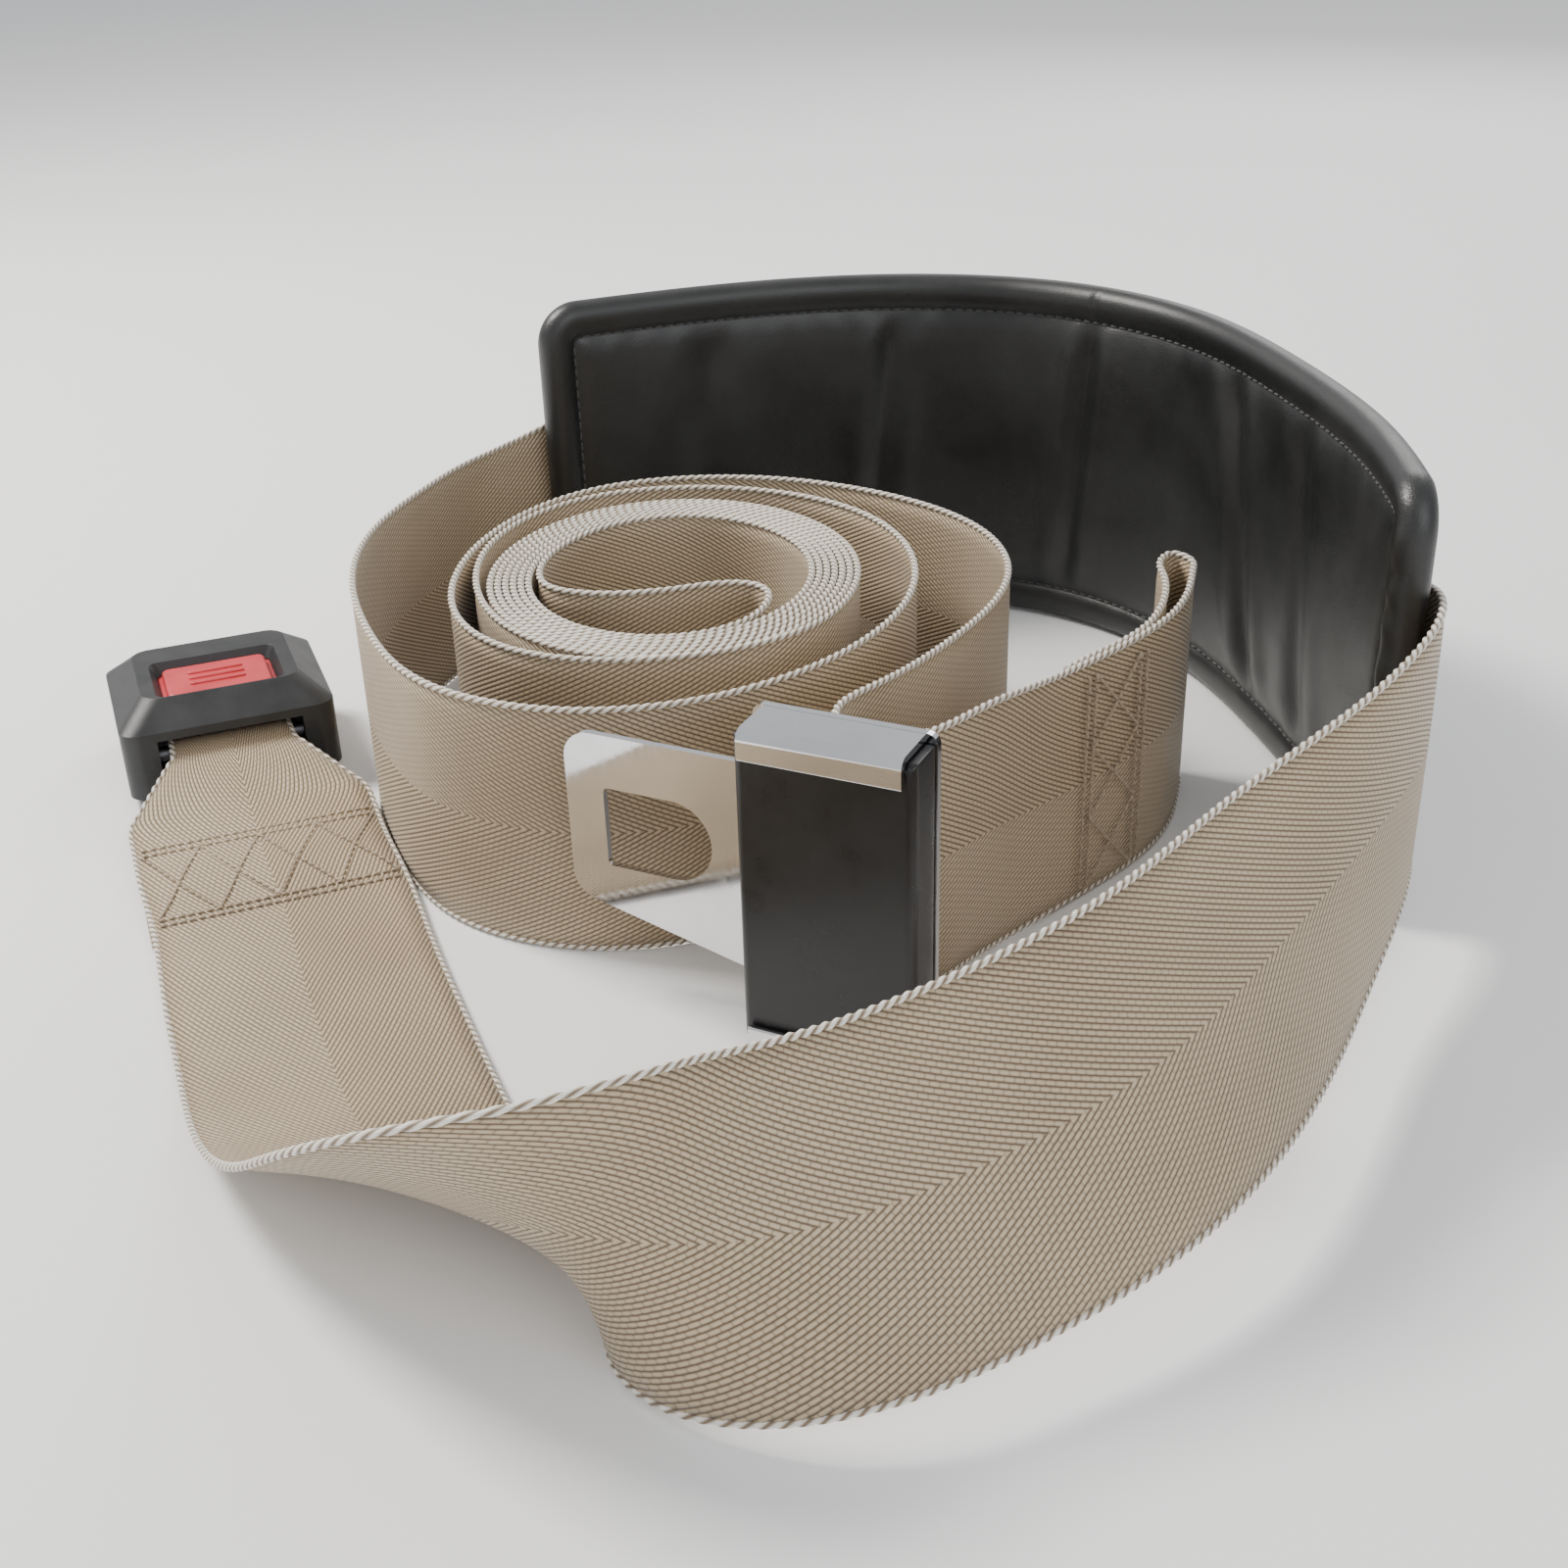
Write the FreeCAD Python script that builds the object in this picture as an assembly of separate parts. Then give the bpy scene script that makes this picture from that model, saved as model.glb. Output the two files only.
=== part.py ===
import FreeCAD, Part
import math
import os

# Transfer belt: 75 mm webbing with a padded back support, a press-release buckle and an
# adjustable latch tongue, lying rolled up on a flat surface.  Millimetres, +Z up.
# The origin is the middle of the belt's footprint, on the surface that it lies on.

# ---- webbing -------------------------------------------------------------------------
STRAP_WIDTH = 75.0
STRAP_THICKNESS = 1.4
STRAP_MID = STRAP_WIDTH / 2
HARDWARE_GAP = 0.3

# ---- back pad ------------------------------------------------------------------------
PAD_HEIGHT = 127.0
PAD_THICKNESS = 12.0
PAD_COVER = 1.6
PAD_BORDER = 12.0
SLEEVE_THICKNESS = 1.2
SLEEVE_HEIGHT = 108.0
PAD_STRAP_MID = 52.0

# ---- coil of doubled webbing ---------------------------------------------------------
COIL_CENTRE = (-7.1, 58.2)
COIL_OUTER = (58.0, 66.0)
COIL_INNER = (41.0, 48.5)

# ---- buckle --------------------------------------------------------------------------
BUCKLE_PLACE = (-162.1, 91.4)
BUCKLE_TURN = 21.0
BUCKLE_WIDTH = 68.0
BUCKLE_LENGTH = 60.0
BUCKLE_HEIGHT = 34.0
HOUSING_WALL = 2.5
HOUSING_PARTING = 13.0
HOUSING_CORNER = 6.0
TOP_BEVEL = 9.0
TOP_BEVEL_DROP = 8.0
BASE_BEVEL = 3.5
MOUTH_WIDTH = 52.0
MOUTH_LOW = 10.0
MOUTH_HIGH = 15.0
FRAME_HALF_WIDTH = 25.0
FRAME_STEEL = 2.0
FRAME_REAR = -26.0
FRAME_FRONT = 26.0
FRAME_BASE_TOP = MOUTH_LOW
FRAME_WALL_TOP = 22.0
ANCHOR_Y = -22.5
ANCHOR_Z = 15.0
ANCHOR_RADIUS = 3.0
STRAP_END_WIDTH = 40.0
BUTTON_SIZE = (33.5, 23.5)
BUTTON_Y = -6.0
BUTTON_TOP = 32.5
BUTTON_TRAVEL = 3.5
CAVITY_TOP = 30.0
LATCH_Z = 18.0
LATCH_PIVOT_Y = -2.0
LATCH_ARM = 11.0
LATCH_HALF_WIDTH = 16.0
HOOK_FRONT = 10.0
HOOK_REAR = 6.0
EJECTOR_FRONT = 4.0
EJECTOR_LENGTH = 5.0
SPRING_STOP_Y = -15.4
SCREW_PLACES = [(x, y) for x in (-28.2, 28.2) for y in (-19.0, 19.0)]

# ---- adjustable tongue ---------------------------------------------------------------
TONGUE_PLACE = (19.0, -74.0)
TONGUE_TURN = -26.0
PLATE_HEIGHT = 92.0
PLATE_LENGTH = 48.0
PLATE_HALF = 1.0
TONGUE_REACH = 55.0
WINDOW = (12.0, 36.0, 6.0, 86.0)
BAR_X = 24.0
BAR_Y = -5.0
BAR_RADIUS = 3.0
COVER_FRONT = -14.0
COVER_WALL = 2.0
COVER_CLEAR = 2.5
FLANGE_FRONT = -16.5
FLANGE_STEEL = 1.8
FLANGE_DROP = 8.0

# ---- webbing routes: x, y, height of the strap's middle, tilt ------------------------
# Tilt is 0 where the strap stands on its edge and 90 where it lies flat.
FRONT_ROUTE = [
    (-124.8, -5.8, 3.0, 90.0),
    (-110.3, -43.8, 1.8, 90.0),
    (-94.8, -83.8, 2.2, 89.0),
    (-77.8, -125.8, 8.5, 80.0),
    (-56.8, -164.8, 20.5, 60.0),
    (-24.5, -199.0, 38.0, 19.0),
    (5.8, -205.5, 38.5, -18.0),
    (35.2, -202.5, 41.0, -32.0),
    (64.5, -189.5, 43.5, -33.0),
    (97.5, -169.0, 47.5, -30.0),
    (137.0, -123.5, 49.0, -24.0),
    (170.0, -82.0, 54.0, -8.0),
    (197.7, -33.8, 58.5, 0.0),
    (200.1, -9.0, 53.4, 0.0),
    (200.4, 9.8, PAD_STRAP_MID, 0.0),
]
FRONT_SPLITS = {"strap_flat_span": (0, 2), "strap_diagonal_fold": (2, 6), "strap_front_span": (6, 14)}

# The pad's middle surface in plan, from the end that the front span reaches.
PAD_ROUTE = [
    (188.7, -36.8),
    (193.2, 18.2),
    (185.7, 88.2),
    (166.7, 152.2),
    (131.2, 193.2),
    (66.7, 213.2),
    (-2.8, 202.2),
    (-56.3, 181.2),
]
PAD_STRAP_START = 51.0
PAD_STRAP_END = 45.0

LOOP_ROUTE = [
    (-18.9, 204.5, PAD_STRAP_MID, 0.0),
    (-25.7, 201.8, 51.8, 0.0),
    (-37.0, 197.3, 50.0, 0.0),
    (-48.1, 192.7, 46.3, 0.0),
    (-59.2, 188.0, 42.5, 0.0),
    (-71.5, 181.6, 39.6, 0.0),
    (-82.5, 171.5, 38.2, 0.0),
    (-95.0, 146.0, STRAP_MID, 0.0),
    (-105.3, 111.0, STRAP_MID, 0.0),
    (-107.3, 78.2, STRAP_MID, 0.0),
    (-92.8, 19.2, STRAP_MID, 0.0),
    (-68.8, -20.3, STRAP_MID, 0.0),
    (-24.8, -38.8, STRAP_MID, 0.0),
    (15.2, -29.3, STRAP_MID, 0.0),
    (53.7, 8.2, STRAP_MID, 0.0),
    (67.7, 56.2, STRAP_MID, 0.0),
    (52.2, 108.2, STRAP_MID, 0.0),
    (5.2, 135.7, STRAP_MID, 0.0),
    (-40.8, 127.2, STRAP_MID, 0.0),
    (-62.3, 99.2, STRAP_MID, 0.0),
    (-67.3, 64.2, STRAP_MID, 0.0),
]
LOOP_SPLITS = {"strap_left_loop": (0, 12), "coil_outer_turn_a": (12, 20)}

RETURN_ROUTE = [
    (-48.8, 2.2, STRAP_MID, 0.0),
    (-66.8, 24.2, STRAP_MID, 0.0),
    (-73.3, 58.2, STRAP_MID, 0.0),
    (-66.8, 96.2, STRAP_MID, 0.0),
    (-36.8, 137.2, STRAP_MID, 0.0),
    (14.2, 145.7, STRAP_MID, 0.0),
    (60.2, 125.2, STRAP_MID, 0.0),
    (90.2, 89.2, STRAP_MID, 0.0),
    (95.7, 51.2, STRAP_MID, 0.0),
    (75.2, 0.2, 38.5, 0.0),
    (51.2, -37.8, 42.0, 0.0),
    (39.2, -61.8, 45.0, 0.0),
]

TAIL_ROUTE = [
    (55.2, -76.3, 45.0, 0.0),
    (76.2, -54.8, 42.0, 0.0),
    (93.2, -34.3, 38.5, 0.0),
    (113.2, -14.8, STRAP_MID, 0.0),
    (127.2, -0.8, STRAP_MID, 0.0),
]
TAB_ROUTE = [
    (127.4, -0.6),
    (139.2, 15.2),
    (148.2, 36.2),
    (151.2, 54.2),
    (146.7, 60.2),
    (142.2, 52.2),
    (136.2, 34.2),
    (126.7, 14.2),
    (113.7, -3.3),
]
HAIRPIN_ROUTE = [
    (-44.3, 48.2),
    (-18.8, 40.7),
    (9.2, 49.7),
    (20.2, 45.2),
    (20.7, 36.2),
    (17.2, 27.2),
]

SAMPLES_PER_SPAN = 4


def vec(x, y, z=0.0):
    return FreeCAD.Vector(x, y, z)


def box(x0, x1, y0, y1, z0, z1):
    return Part.makeBox(x1 - x0, y1 - y0, z1 - z0, vec(x0, y0, z0))


def rod(radius, start, end):
    return Part.makeCylinder(radius, (end - start).Length, start, end - start)


def rounded_wire(points, radii):
    """Closed wire through the corners, each rounded to its own radius."""
    edges = []
    starts = []
    ends = []
    count = len(points)
    for index, corner in enumerate(points):
        to_last = (points[index - 1] - corner).normalize()
        to_next = (points[(index + 1) % count] - corner).normalize()
        half_angle = to_last.getAngle(to_next) / 2
        setback = radii[index] / math.tan(half_angle)
        starts.append(corner + to_last * setback)
        ends.append(corner + to_next * setback)
        if radii[index] > 0:
            bisector = (to_last + to_next).normalize()
            middle = corner + bisector * (radii[index] / math.sin(half_angle) - radii[index])
            edges.append(Part.Arc(starts[-1], middle, ends[-1]).toShape())
    for index in range(count):
        edges.append(Part.LineSegment(ends[index], starts[(index + 1) % count]).toShape())
    return Part.Wire(Part.__sortEdges__(edges))


def slab(points, radii, along):
    """Rounded outline pushed along a vector."""
    return Part.Face(rounded_wire(points, radii)).extrude(along)


def rectangle(width, length, height):
    """Corners of a level rectangle centred on the local axis."""
    signs = ((-1, -1), (1, -1), (1, 1), (-1, 1))
    return [vec(sx * width / 2, sy * length / 2, height) for sx, sy in signs]


def rounded_box(width, length, corner, z0, z1):
    """Upright block centred on the local axis, with rounded vertical edges."""
    return slab(rectangle(width, length, z0), [corner] * 4, vec(0, 0, z1 - z0))


def tapered_block(low_size, high_size, corner, z0, z1):
    """Rounded rectangle that changes size from z0 to z1."""
    wires = []
    for (width, length), height in ((low_size, z0), (high_size, z1)):
        wires.append(rounded_wire(rectangle(width, length, height), [corner] * 4))
    return Part.makeLoft(wires, True, True)


def coil_spring(radius, wire_radius, pitch, height):
    """Compression spring standing on the local origin."""
    turns_height = height - 2 * wire_radius
    helix = Part.makeHelix(pitch, turns_height, radius)
    section = Part.Wire(Part.makeCircle(wire_radius, vec(radius, 0, 0), vec(0, 1, 0)))
    spring = Part.Wire(helix).makePipeShell([section], True, True)
    spring.translate(vec(0, 0, wire_radius))
    return spring


# ---- webbing -------------------------------------------------------------------------
def smooth_curve(points):
    curve = Part.BSplineCurve()
    curve.interpolate(points)
    return curve


def strap_frame(curve, parameter, tilt):
    """Centre, across-width direction and face normal of the strap at one place."""
    centre = curve.value(parameter)
    along = curve.tangent(parameter)[0]
    upright = (vec(0, 0, 1) - along * along.z).normalize()
    sideways = along.cross(upright)
    angle = math.radians(tilt)
    across = upright * math.cos(angle) + sideways * math.sin(angle)
    return centre, across, across.cross(along)


def ribbon(route, first, last):
    """Solid strap from one station of a route to another."""
    points = [vec(x, y, z) for x, y, z, tilt in route]
    curve = smooth_curve(points)
    places = [curve.parameter(point) for point in points]
    tilts = Part.BSplineCurve()
    tilts.interpolate(Points=[vec(u, row[3]) for u, row in zip(places, route)], Parameters=places)
    corners = [[], [], [], []]
    count = SAMPLES_PER_SPAN * (last - first)
    for step in range(count + 1):
        place = places[first] + (places[last] - places[first]) * step / count
        centre, across, normal = strap_frame(curve, place, tilts.value(place).y)
        for corner, (a, n) in zip(corners, ((-1, -1), (1, -1), (1, 1), (-1, 1))):
            corner.append(centre + across * (a * STRAP_MID) + normal * (n * STRAP_THICKNESS / 2))
    return skin_solid(corners)


def skin_solid(corners):
    """Solid between four smooth lines, closed with a flat face at each end."""
    edges = [smooth_curve(line).toShape() for line in corners]
    faces = [Part.makeRuledSurface(edges[i - 1], edges[i], 1) for i in range(4)]
    for end in (0, -1):
        faces.append(Part.Face(Part.makePolygon([line[end] for line in corners] + [corners[0][end]])))
    shell = Part.Shell(faces)
    shell.sewShape()
    solid = Part.Solid(shell)
    if solid.Volume < 0:
        solid.reverse()
    return solid


def plan_curve(points):
    return smooth_curve([vec(x, y) for x, y in points])


def upright_band(points, offset, thickness, z0, z1, start_inset=0.0, end_inset=0.0):
    """Curved wall that stands upright, shifted sideways from a plan route."""
    curve = plan_curve(points)
    length = curve.length()
    first = curve.parameterAtDistance(start_inset, curve.FirstParameter)
    last = curve.parameterAtDistance(length - end_inset, curve.FirstParameter)
    count = SAMPLES_PER_SPAN * (len(points) - 1)
    sides = [[], []]
    for step in range(count + 1):
        place = first + (last - first) * step / count
        sideways = curve.tangent(place)[0].cross(vec(0, 0, 1))
        for side, line in zip((-1, 1), sides):
            line.append(curve.value(place) + sideways * (offset + side * thickness / 2) + vec(0, 0, z0))
    edges = [smooth_curve(line).toShape() for line in sides]
    edges += [Part.LineSegment(sides[0][end], sides[1][end]).toShape() for end in (0, -1)]
    outline = Part.Wire(Part.__sortEdges__(edges))
    return Part.Face(outline).extrude(vec(0, 0, z1 - z0))


def coil_core():
    """Tight turns of the doubled strap, wound to one ring."""
    faces = []
    for across, along in (COIL_OUTER, COIL_INNER):
        ellipse = Part.Ellipse(vec(0, 0), along, across).toShape()
        faces.append(Part.Face(Part.Wire(ellipse)))
    ring = faces[0].cut(faces[1]).extrude(vec(0, 0, STRAP_WIDTH))
    ring.rotate(vec(0, 0), vec(0, 0, 1), 90)
    ring.translate(vec(*COIL_CENTRE))
    return ring


def strap_parts():
    parts = {name: ribbon(FRONT_ROUTE, *ends) for name, ends in FRONT_SPLITS.items()}
    parts.update({name: ribbon(LOOP_ROUTE, *ends) for name, ends in LOOP_SPLITS.items()})
    parts["coil_outer_turn_b"] = ribbon(RETURN_ROUTE, 0, len(RETURN_ROUTE) - 1)
    parts["strap_tail"] = ribbon(TAIL_ROUTE, 0, len(TAIL_ROUTE) - 1)
    parts["strap_pull_tab"] = upright_band(TAB_ROUTE, 0.0, STRAP_THICKNESS, 0.0, STRAP_WIDTH)
    parts["coil_core"] = coil_core()
    parts["coil_inner_fold"] = upright_band(HAIRPIN_ROUTE, 0.0, STRAP_THICKNESS, 0.0, STRAP_WIDTH)
    return parts


# ---- back pad ------------------------------------------------------------------------
def pad_band(near, far, z0, z1, start_inset=0.0, end_inset=0.0):
    """Part of the pad between two distances from its middle surface."""
    return upright_band(PAD_ROUTE, (near + far) / 2, far - near, z0, z1, start_inset, end_inset)


def pad_parts():
    half = PAD_THICKNESS / 2
    clear = PAD_COVER + HARDWARE_GAP
    parts = {}
    pocket = pad_band(PAD_COVER - half, half + 1, PAD_COVER, PAD_HEIGHT - PAD_COVER, PAD_COVER, PAD_COVER)
    parts["pad_front_cover"] = pad_band(-half, half, 0, PAD_HEIGHT).cut(pocket)
    parts["pad_foam_core"] = pad_band(clear - half, half - clear, clear, PAD_HEIGHT - clear, clear, clear)
    parts["pad_back_cover"] = pad_band(half - PAD_COVER, half, clear, PAD_HEIGHT - clear, clear, clear)
    strap_near = half + HARDWARE_GAP
    strap_far = strap_near + STRAP_THICKNESS
    strap_low = PAD_STRAP_MID - STRAP_MID
    strap_high = PAD_STRAP_MID + STRAP_MID
    strap_inset = (PAD_STRAP_START, PAD_STRAP_END)
    parts["strap_pad_span"] = pad_band(strap_near, strap_far, strap_low, strap_high, *strap_inset)
    sleeve_low = (PAD_HEIGHT - SLEEVE_HEIGHT) / 2
    sleeve_high = PAD_HEIGHT - sleeve_low
    sleeve_near = half + HARDWARE_GAP / 2
    sleeve_inside = strap_far + HARDWARE_GAP
    sleeve_far = sleeve_inside + SLEEVE_THICKNESS
    sleeve_start = PAD_STRAP_START + 6
    sleeve = pad_band(sleeve_near, sleeve_far, sleeve_low, sleeve_high, sleeve_start, PAD_STRAP_START)
    tunnel = pad_band(sleeve_near - 1, sleeve_inside, strap_low - 1, strap_high + 1, PAD_STRAP_START)
    parts["pad_back_sleeve"] = sleeve.cut(tunnel)
    return parts


# ---- buckle, in its own frame: +X across, +Y towards the mouth, floor at Z = 0 -------
def housing_outline():
    """Whole outside of the buckle with bevels round the top and the base."""
    size = (BUCKLE_WIDTH, BUCKLE_LENGTH)
    base_size = (BUCKLE_WIDTH - 2 * BASE_BEVEL, BUCKLE_LENGTH - 2 * BASE_BEVEL)
    top_size = (BUCKLE_WIDTH - 2 * TOP_BEVEL, BUCKLE_LENGTH - 2 * TOP_BEVEL)
    shoulder = BUCKLE_HEIGHT - TOP_BEVEL_DROP
    base = tapered_block(base_size, size, HOUSING_CORNER, 0, BASE_BEVEL)
    middle = rounded_box(BUCKLE_WIDTH, BUCKLE_LENGTH, HOUSING_CORNER, BASE_BEVEL, shoulder)
    top = tapered_block(size, top_size, HOUSING_CORNER, shoulder, BUCKLE_HEIGHT)
    return base.multiFuse([middle, top])


def strap_opening():
    """Slot through the rear wall for the doubled strap end, tall enough for its swing."""
    half = STRAP_END_WIDTH / 2 + 3
    return box(-half, half, -BUCKLE_LENGTH, ANCHOR_Y, ANCHOR_Z - 7, ANCHOR_Z + 8)


def mouth_opening():
    half = MOUTH_WIDTH / 2
    return box(-half, half, 0, BUCKLE_LENGTH, MOUTH_LOW, MOUTH_HIGH)


def button_opening():
    """Well in the top face, wide at the top and close to the button below."""
    width, length = BUTTON_SIZE
    close_fit = (width + 1.6, length + 1.6)
    wide_rim = (width + 8, length + 6)
    well = tapered_block(close_fit, wide_rim, 3.0, CAVITY_TOP - 1, BUCKLE_HEIGHT + 0.5)
    well.translate(vec(0, BUTTON_Y, 0))
    return well


def upper_housing():
    cavity_width = BUCKLE_WIDTH - 2 * HOUSING_WALL
    cavity_length = BUCKLE_LENGTH - 2 * HOUSING_WALL
    cavity_top = BUCKLE_HEIGHT - TOP_BEVEL_DROP - 1
    cavity = rounded_box(cavity_width, cavity_length, 3.0, 0, cavity_top)
    well_length = BUTTON_SIZE[1] + 9
    button_room = rounded_box(BUTTON_SIZE[0] + 10, well_length, 3.0, 0, CAVITY_TOP)
    button_room.translate(vec(0, BUTTON_Y, 0))
    shell = housing_outline().cut(box(-50, 50, -50, 50, -1, HOUSING_PARTING))
    shell = shell.cut(cavity.multiFuse([button_room, strap_opening(), mouth_opening(), button_opening()]))
    bosses = [rod(2.8, vec(x, y, HOUSING_PARTING), vec(x, y, 26)) for x, y in SCREW_PLACES]
    holes = [rod(1.25, vec(x, y, HOUSING_PARTING - 1), vec(x, y, 22)) for x, y in SCREW_PLACES]
    return shell.multiFuse(bosses).cut(Part.Compound(holes))


def lower_housing():
    cavity = rounded_box(BUCKLE_WIDTH - 2 * HOUSING_WALL, BUCKLE_LENGTH - 2 * HOUSING_WALL, 3.0, 3.5, 40)
    shell = housing_outline().cut(box(-50, 50, -50, 50, HOUSING_PARTING, 60))
    shell = shell.cut(cavity.multiFuse([strap_opening(), mouth_opening()]))
    ribs = [box(x - 1, x + 1, -20, 20, 3, FRAME_BASE_TOP - FRAME_STEEL) for x in (-12, 0, 12)]
    bosses = [rod(2.8, vec(x, y, 2), vec(x, y, HOUSING_PARTING)) for x, y in SCREW_PLACES]
    cuts = [rod(1.35, vec(x, y, -1), vec(x, y, 20)) for x, y in SCREW_PLACES]
    cuts += [rod(2.3, vec(x, y, -1), vec(x, y, 2)) for x, y in SCREW_PLACES]
    return shell.multiFuse(ribs + bosses).cut(Part.Compound(cuts))


def housing_screws():
    screws = []
    for x, y in SCREW_PLACES:
        head = rod(2.1, vec(x, y, 0.4), vec(x, y, 2))
        across_slot = box(x - 1.2, x + 1.2, y - 0.3, y + 0.3, 0, 1.2)
        recess = across_slot.fuse(box(x - 0.3, x + 0.3, y - 1.2, y + 1.2, 0, 1.2))
        screws.append(head.fuse(rod(1.15, vec(x, y, 2), vec(x, y, 20))).cut(recess))
    return Part.Compound(screws)


def steel_frame():
    """Bent steel channel that carries the latch, the spring stop and the anchor bar."""
    low = FRAME_BASE_TOP - FRAME_STEEL
    half = FRAME_HALF_WIDTH
    base = box(-half, half, FRAME_REAR + 11, FRAME_FRONT, low, FRAME_BASE_TOP)
    wall_starts = (-half, half - FRAME_STEEL)
    walls = [box(x, x + FRAME_STEEL, FRAME_REAR, 16, low, FRAME_WALL_TOP) for x in wall_starts]
    stop = box(-5, 5, SPRING_STOP_Y - 1.2, SPRING_STOP_Y, low, FRAME_BASE_TOP + 4.5)
    rear_strip = box(-5, 5, SPRING_STOP_Y - 1.2, FRAME_REAR + 11, low, FRAME_BASE_TOP)
    pivot_hole = rod(1.6, vec(-half - 1, LATCH_PIVOT_Y, LATCH_Z), vec(half + 1, LATCH_PIVOT_Y, LATCH_Z))
    return base.multiFuse(walls + [stop, rear_strip]).cut(pivot_hole)


def anchor_bar():
    half = FRAME_HALF_WIDTH - FRAME_STEEL
    return rod(ANCHOR_RADIUS, vec(-half, ANCHOR_Y, ANCHOR_Z), vec(half, ANCHOR_Y, ANCHOR_Z))


def latch_pin():
    half = FRAME_HALF_WIDTH + 0.5
    return rod(1.5, vec(-half, LATCH_PIVOT_Y, LATCH_Z), vec(half, LATCH_PIVOT_Y, LATCH_Z))


def latch():
    """Lever on a cross pin: hook at the mouth end, arm under the button."""
    half = LATCH_HALF_WIDTH
    rear = LATCH_PIVOT_Y - LATCH_ARM - 1.5
    plate = box(-half, half, rear, HOOK_FRONT, LATCH_Z - 1, LATCH_Z + 1)
    hub = rod(2.9, vec(-half, LATCH_PIVOT_Y, LATCH_Z), vec(half, LATCH_PIVOT_Y, LATCH_Z))
    hook = box(-8, 8, HOOK_REAR, HOOK_FRONT, MOUTH_LOW + 0.3, LATCH_Z)
    bore = rod(1.6, vec(-half - 1, LATCH_PIVOT_Y, LATCH_Z), vec(half + 1, LATCH_PIVOT_Y, LATCH_Z))
    spring_notch = box(-4, 4, rear - 1, LATCH_PIVOT_Y - 3.5, LATCH_Z - 2, LATCH_Z + 2)
    return plate.multiFuse([hub, hook]).cut(bore).cut(spring_notch)


def latch_springs():
    springs = []
    for x in (-13.0, 13.0):
        spring = coil_spring(1.6, 0.3, 1.5, LATCH_Z - 1 - FRAME_BASE_TOP - 0.1)
        spring.translate(vec(x, LATCH_PIVOT_Y - LATCH_ARM + 1, FRAME_BASE_TOP + 0.05))
        springs.append(spring)
    return Part.Compound(springs)


def press_button():
    width, length = BUTTON_SIZE
    cap = rounded_box(width, length, 2.5, CAVITY_TOP - 3, BUTTON_TOP)
    cap = cap.makeFillet(1.2, [edge for edge in cap.Edges if edge.BoundBox.ZMin > BUTTON_TOP - 0.01])
    flange = rounded_box(width + 5, length + 4, 3.0, CAVITY_TOP - 3, CAVITY_TOP - 0.4)
    post_y = LATCH_PIVOT_Y - LATCH_ARM - BUTTON_Y
    posts = [box(x - 2, x + 2, post_y - 1.2, post_y + 1.2, LATCH_Z + 1.4, CAVITY_TOP - 2) for x in (-10, 10)]
    button = cap.multiFuse([flange] + posts)
    button.translate(vec(0, BUTTON_Y, 0))
    return button


def ejector():
    rear = EJECTOR_FRONT - EJECTOR_LENGTH
    body = box(-8, 8, rear, EJECTOR_FRONT, FRAME_BASE_TOP + 0.3, FRAME_BASE_TOP + 3.8)
    peg = rod(0.9, vec(0, rear, FRAME_BASE_TOP + 2.3), vec(0, rear - 3, FRAME_BASE_TOP + 2.3))
    return body.fuse(peg)


def ejector_spring():
    rear = EJECTOR_FRONT - EJECTOR_LENGTH
    length = rear - SPRING_STOP_Y - 0.1
    spring = coil_spring(1.6, 0.28, 1.6, length)
    spring.rotate(vec(0, 0), vec(1, 0, 0), -90)
    spring.translate(vec(0, SPRING_STOP_Y + 0.05, FRAME_BASE_TOP + 2.3))
    return spring


def buckle_parts():
    parts = {
        "buckle_upper_housing": upper_housing(),
        "buckle_lower_housing": lower_housing(),
        "buckle_housing_screws": housing_screws(),
        "buckle_steel_frame": steel_frame(),
        "buckle_anchor_bar": anchor_bar(),
        "buckle_latch_pin": latch_pin(),
        "buckle_latch": latch(),
        "buckle_latch_springs": latch_springs(),
        "buckle_press_button": press_button(),
        "buckle_ejector": ejector(),
        "buckle_ejector_spring": ejector_spring(),
    }
    return placed(parts, BUCKLE_PLACE, BUCKLE_TURN)


def placed(parts, place, turn):
    for shape in parts.values():
        shape.rotate(vec(0, 0), vec(0, 0, 1), turn)
        shape.translate(vec(*place))
    return parts


# ---- adjustable tongue, in its own frame: -X towards the tip, -Y the covered face ----
def tongue_plate():
    """Steel latch plate with a strap window and a hooked flange along each side."""
    reach = -TONGUE_REACH
    outline = [(0, 0), (PLATE_LENGTH, 0), (PLATE_LENGTH, PLATE_HEIGHT), (0, PLATE_HEIGHT)]
    outline += [(0, 75), (reach, 75), (reach, 27), (0, 14)]
    radii = [3, 3, 3, 3, 5, 8, 8, 6]
    thick = vec(0, 2 * PLATE_HALF, 0)
    face = [vec(x, -PLATE_HALF, z) for x, z in outline]
    plate = slab(face, radii, thick)
    left, right, low, high = WINDOW
    window = [vec(x, -PLATE_HALF, z) for x, z in ((left, low), (right, low), (right, high), (left, high))]
    hole_left = reach + 11
    hole_right = hole_left + 31
    hole = [(hole_left, 37), (hole_right, 37), (hole_right, 60), (hole_left, 60)]
    latch_hole = slab([vec(x, -PLATE_HALF, z) for x, z in hole], [1.5, 11.4, 11.4, 1.5], thick)
    plate = plate.cut(slab(window, [3] * 4, thick)).cut(latch_hole)
    return plate.multiFuse([side_flange(False), side_flange(True)]).removeSplitter()


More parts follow.
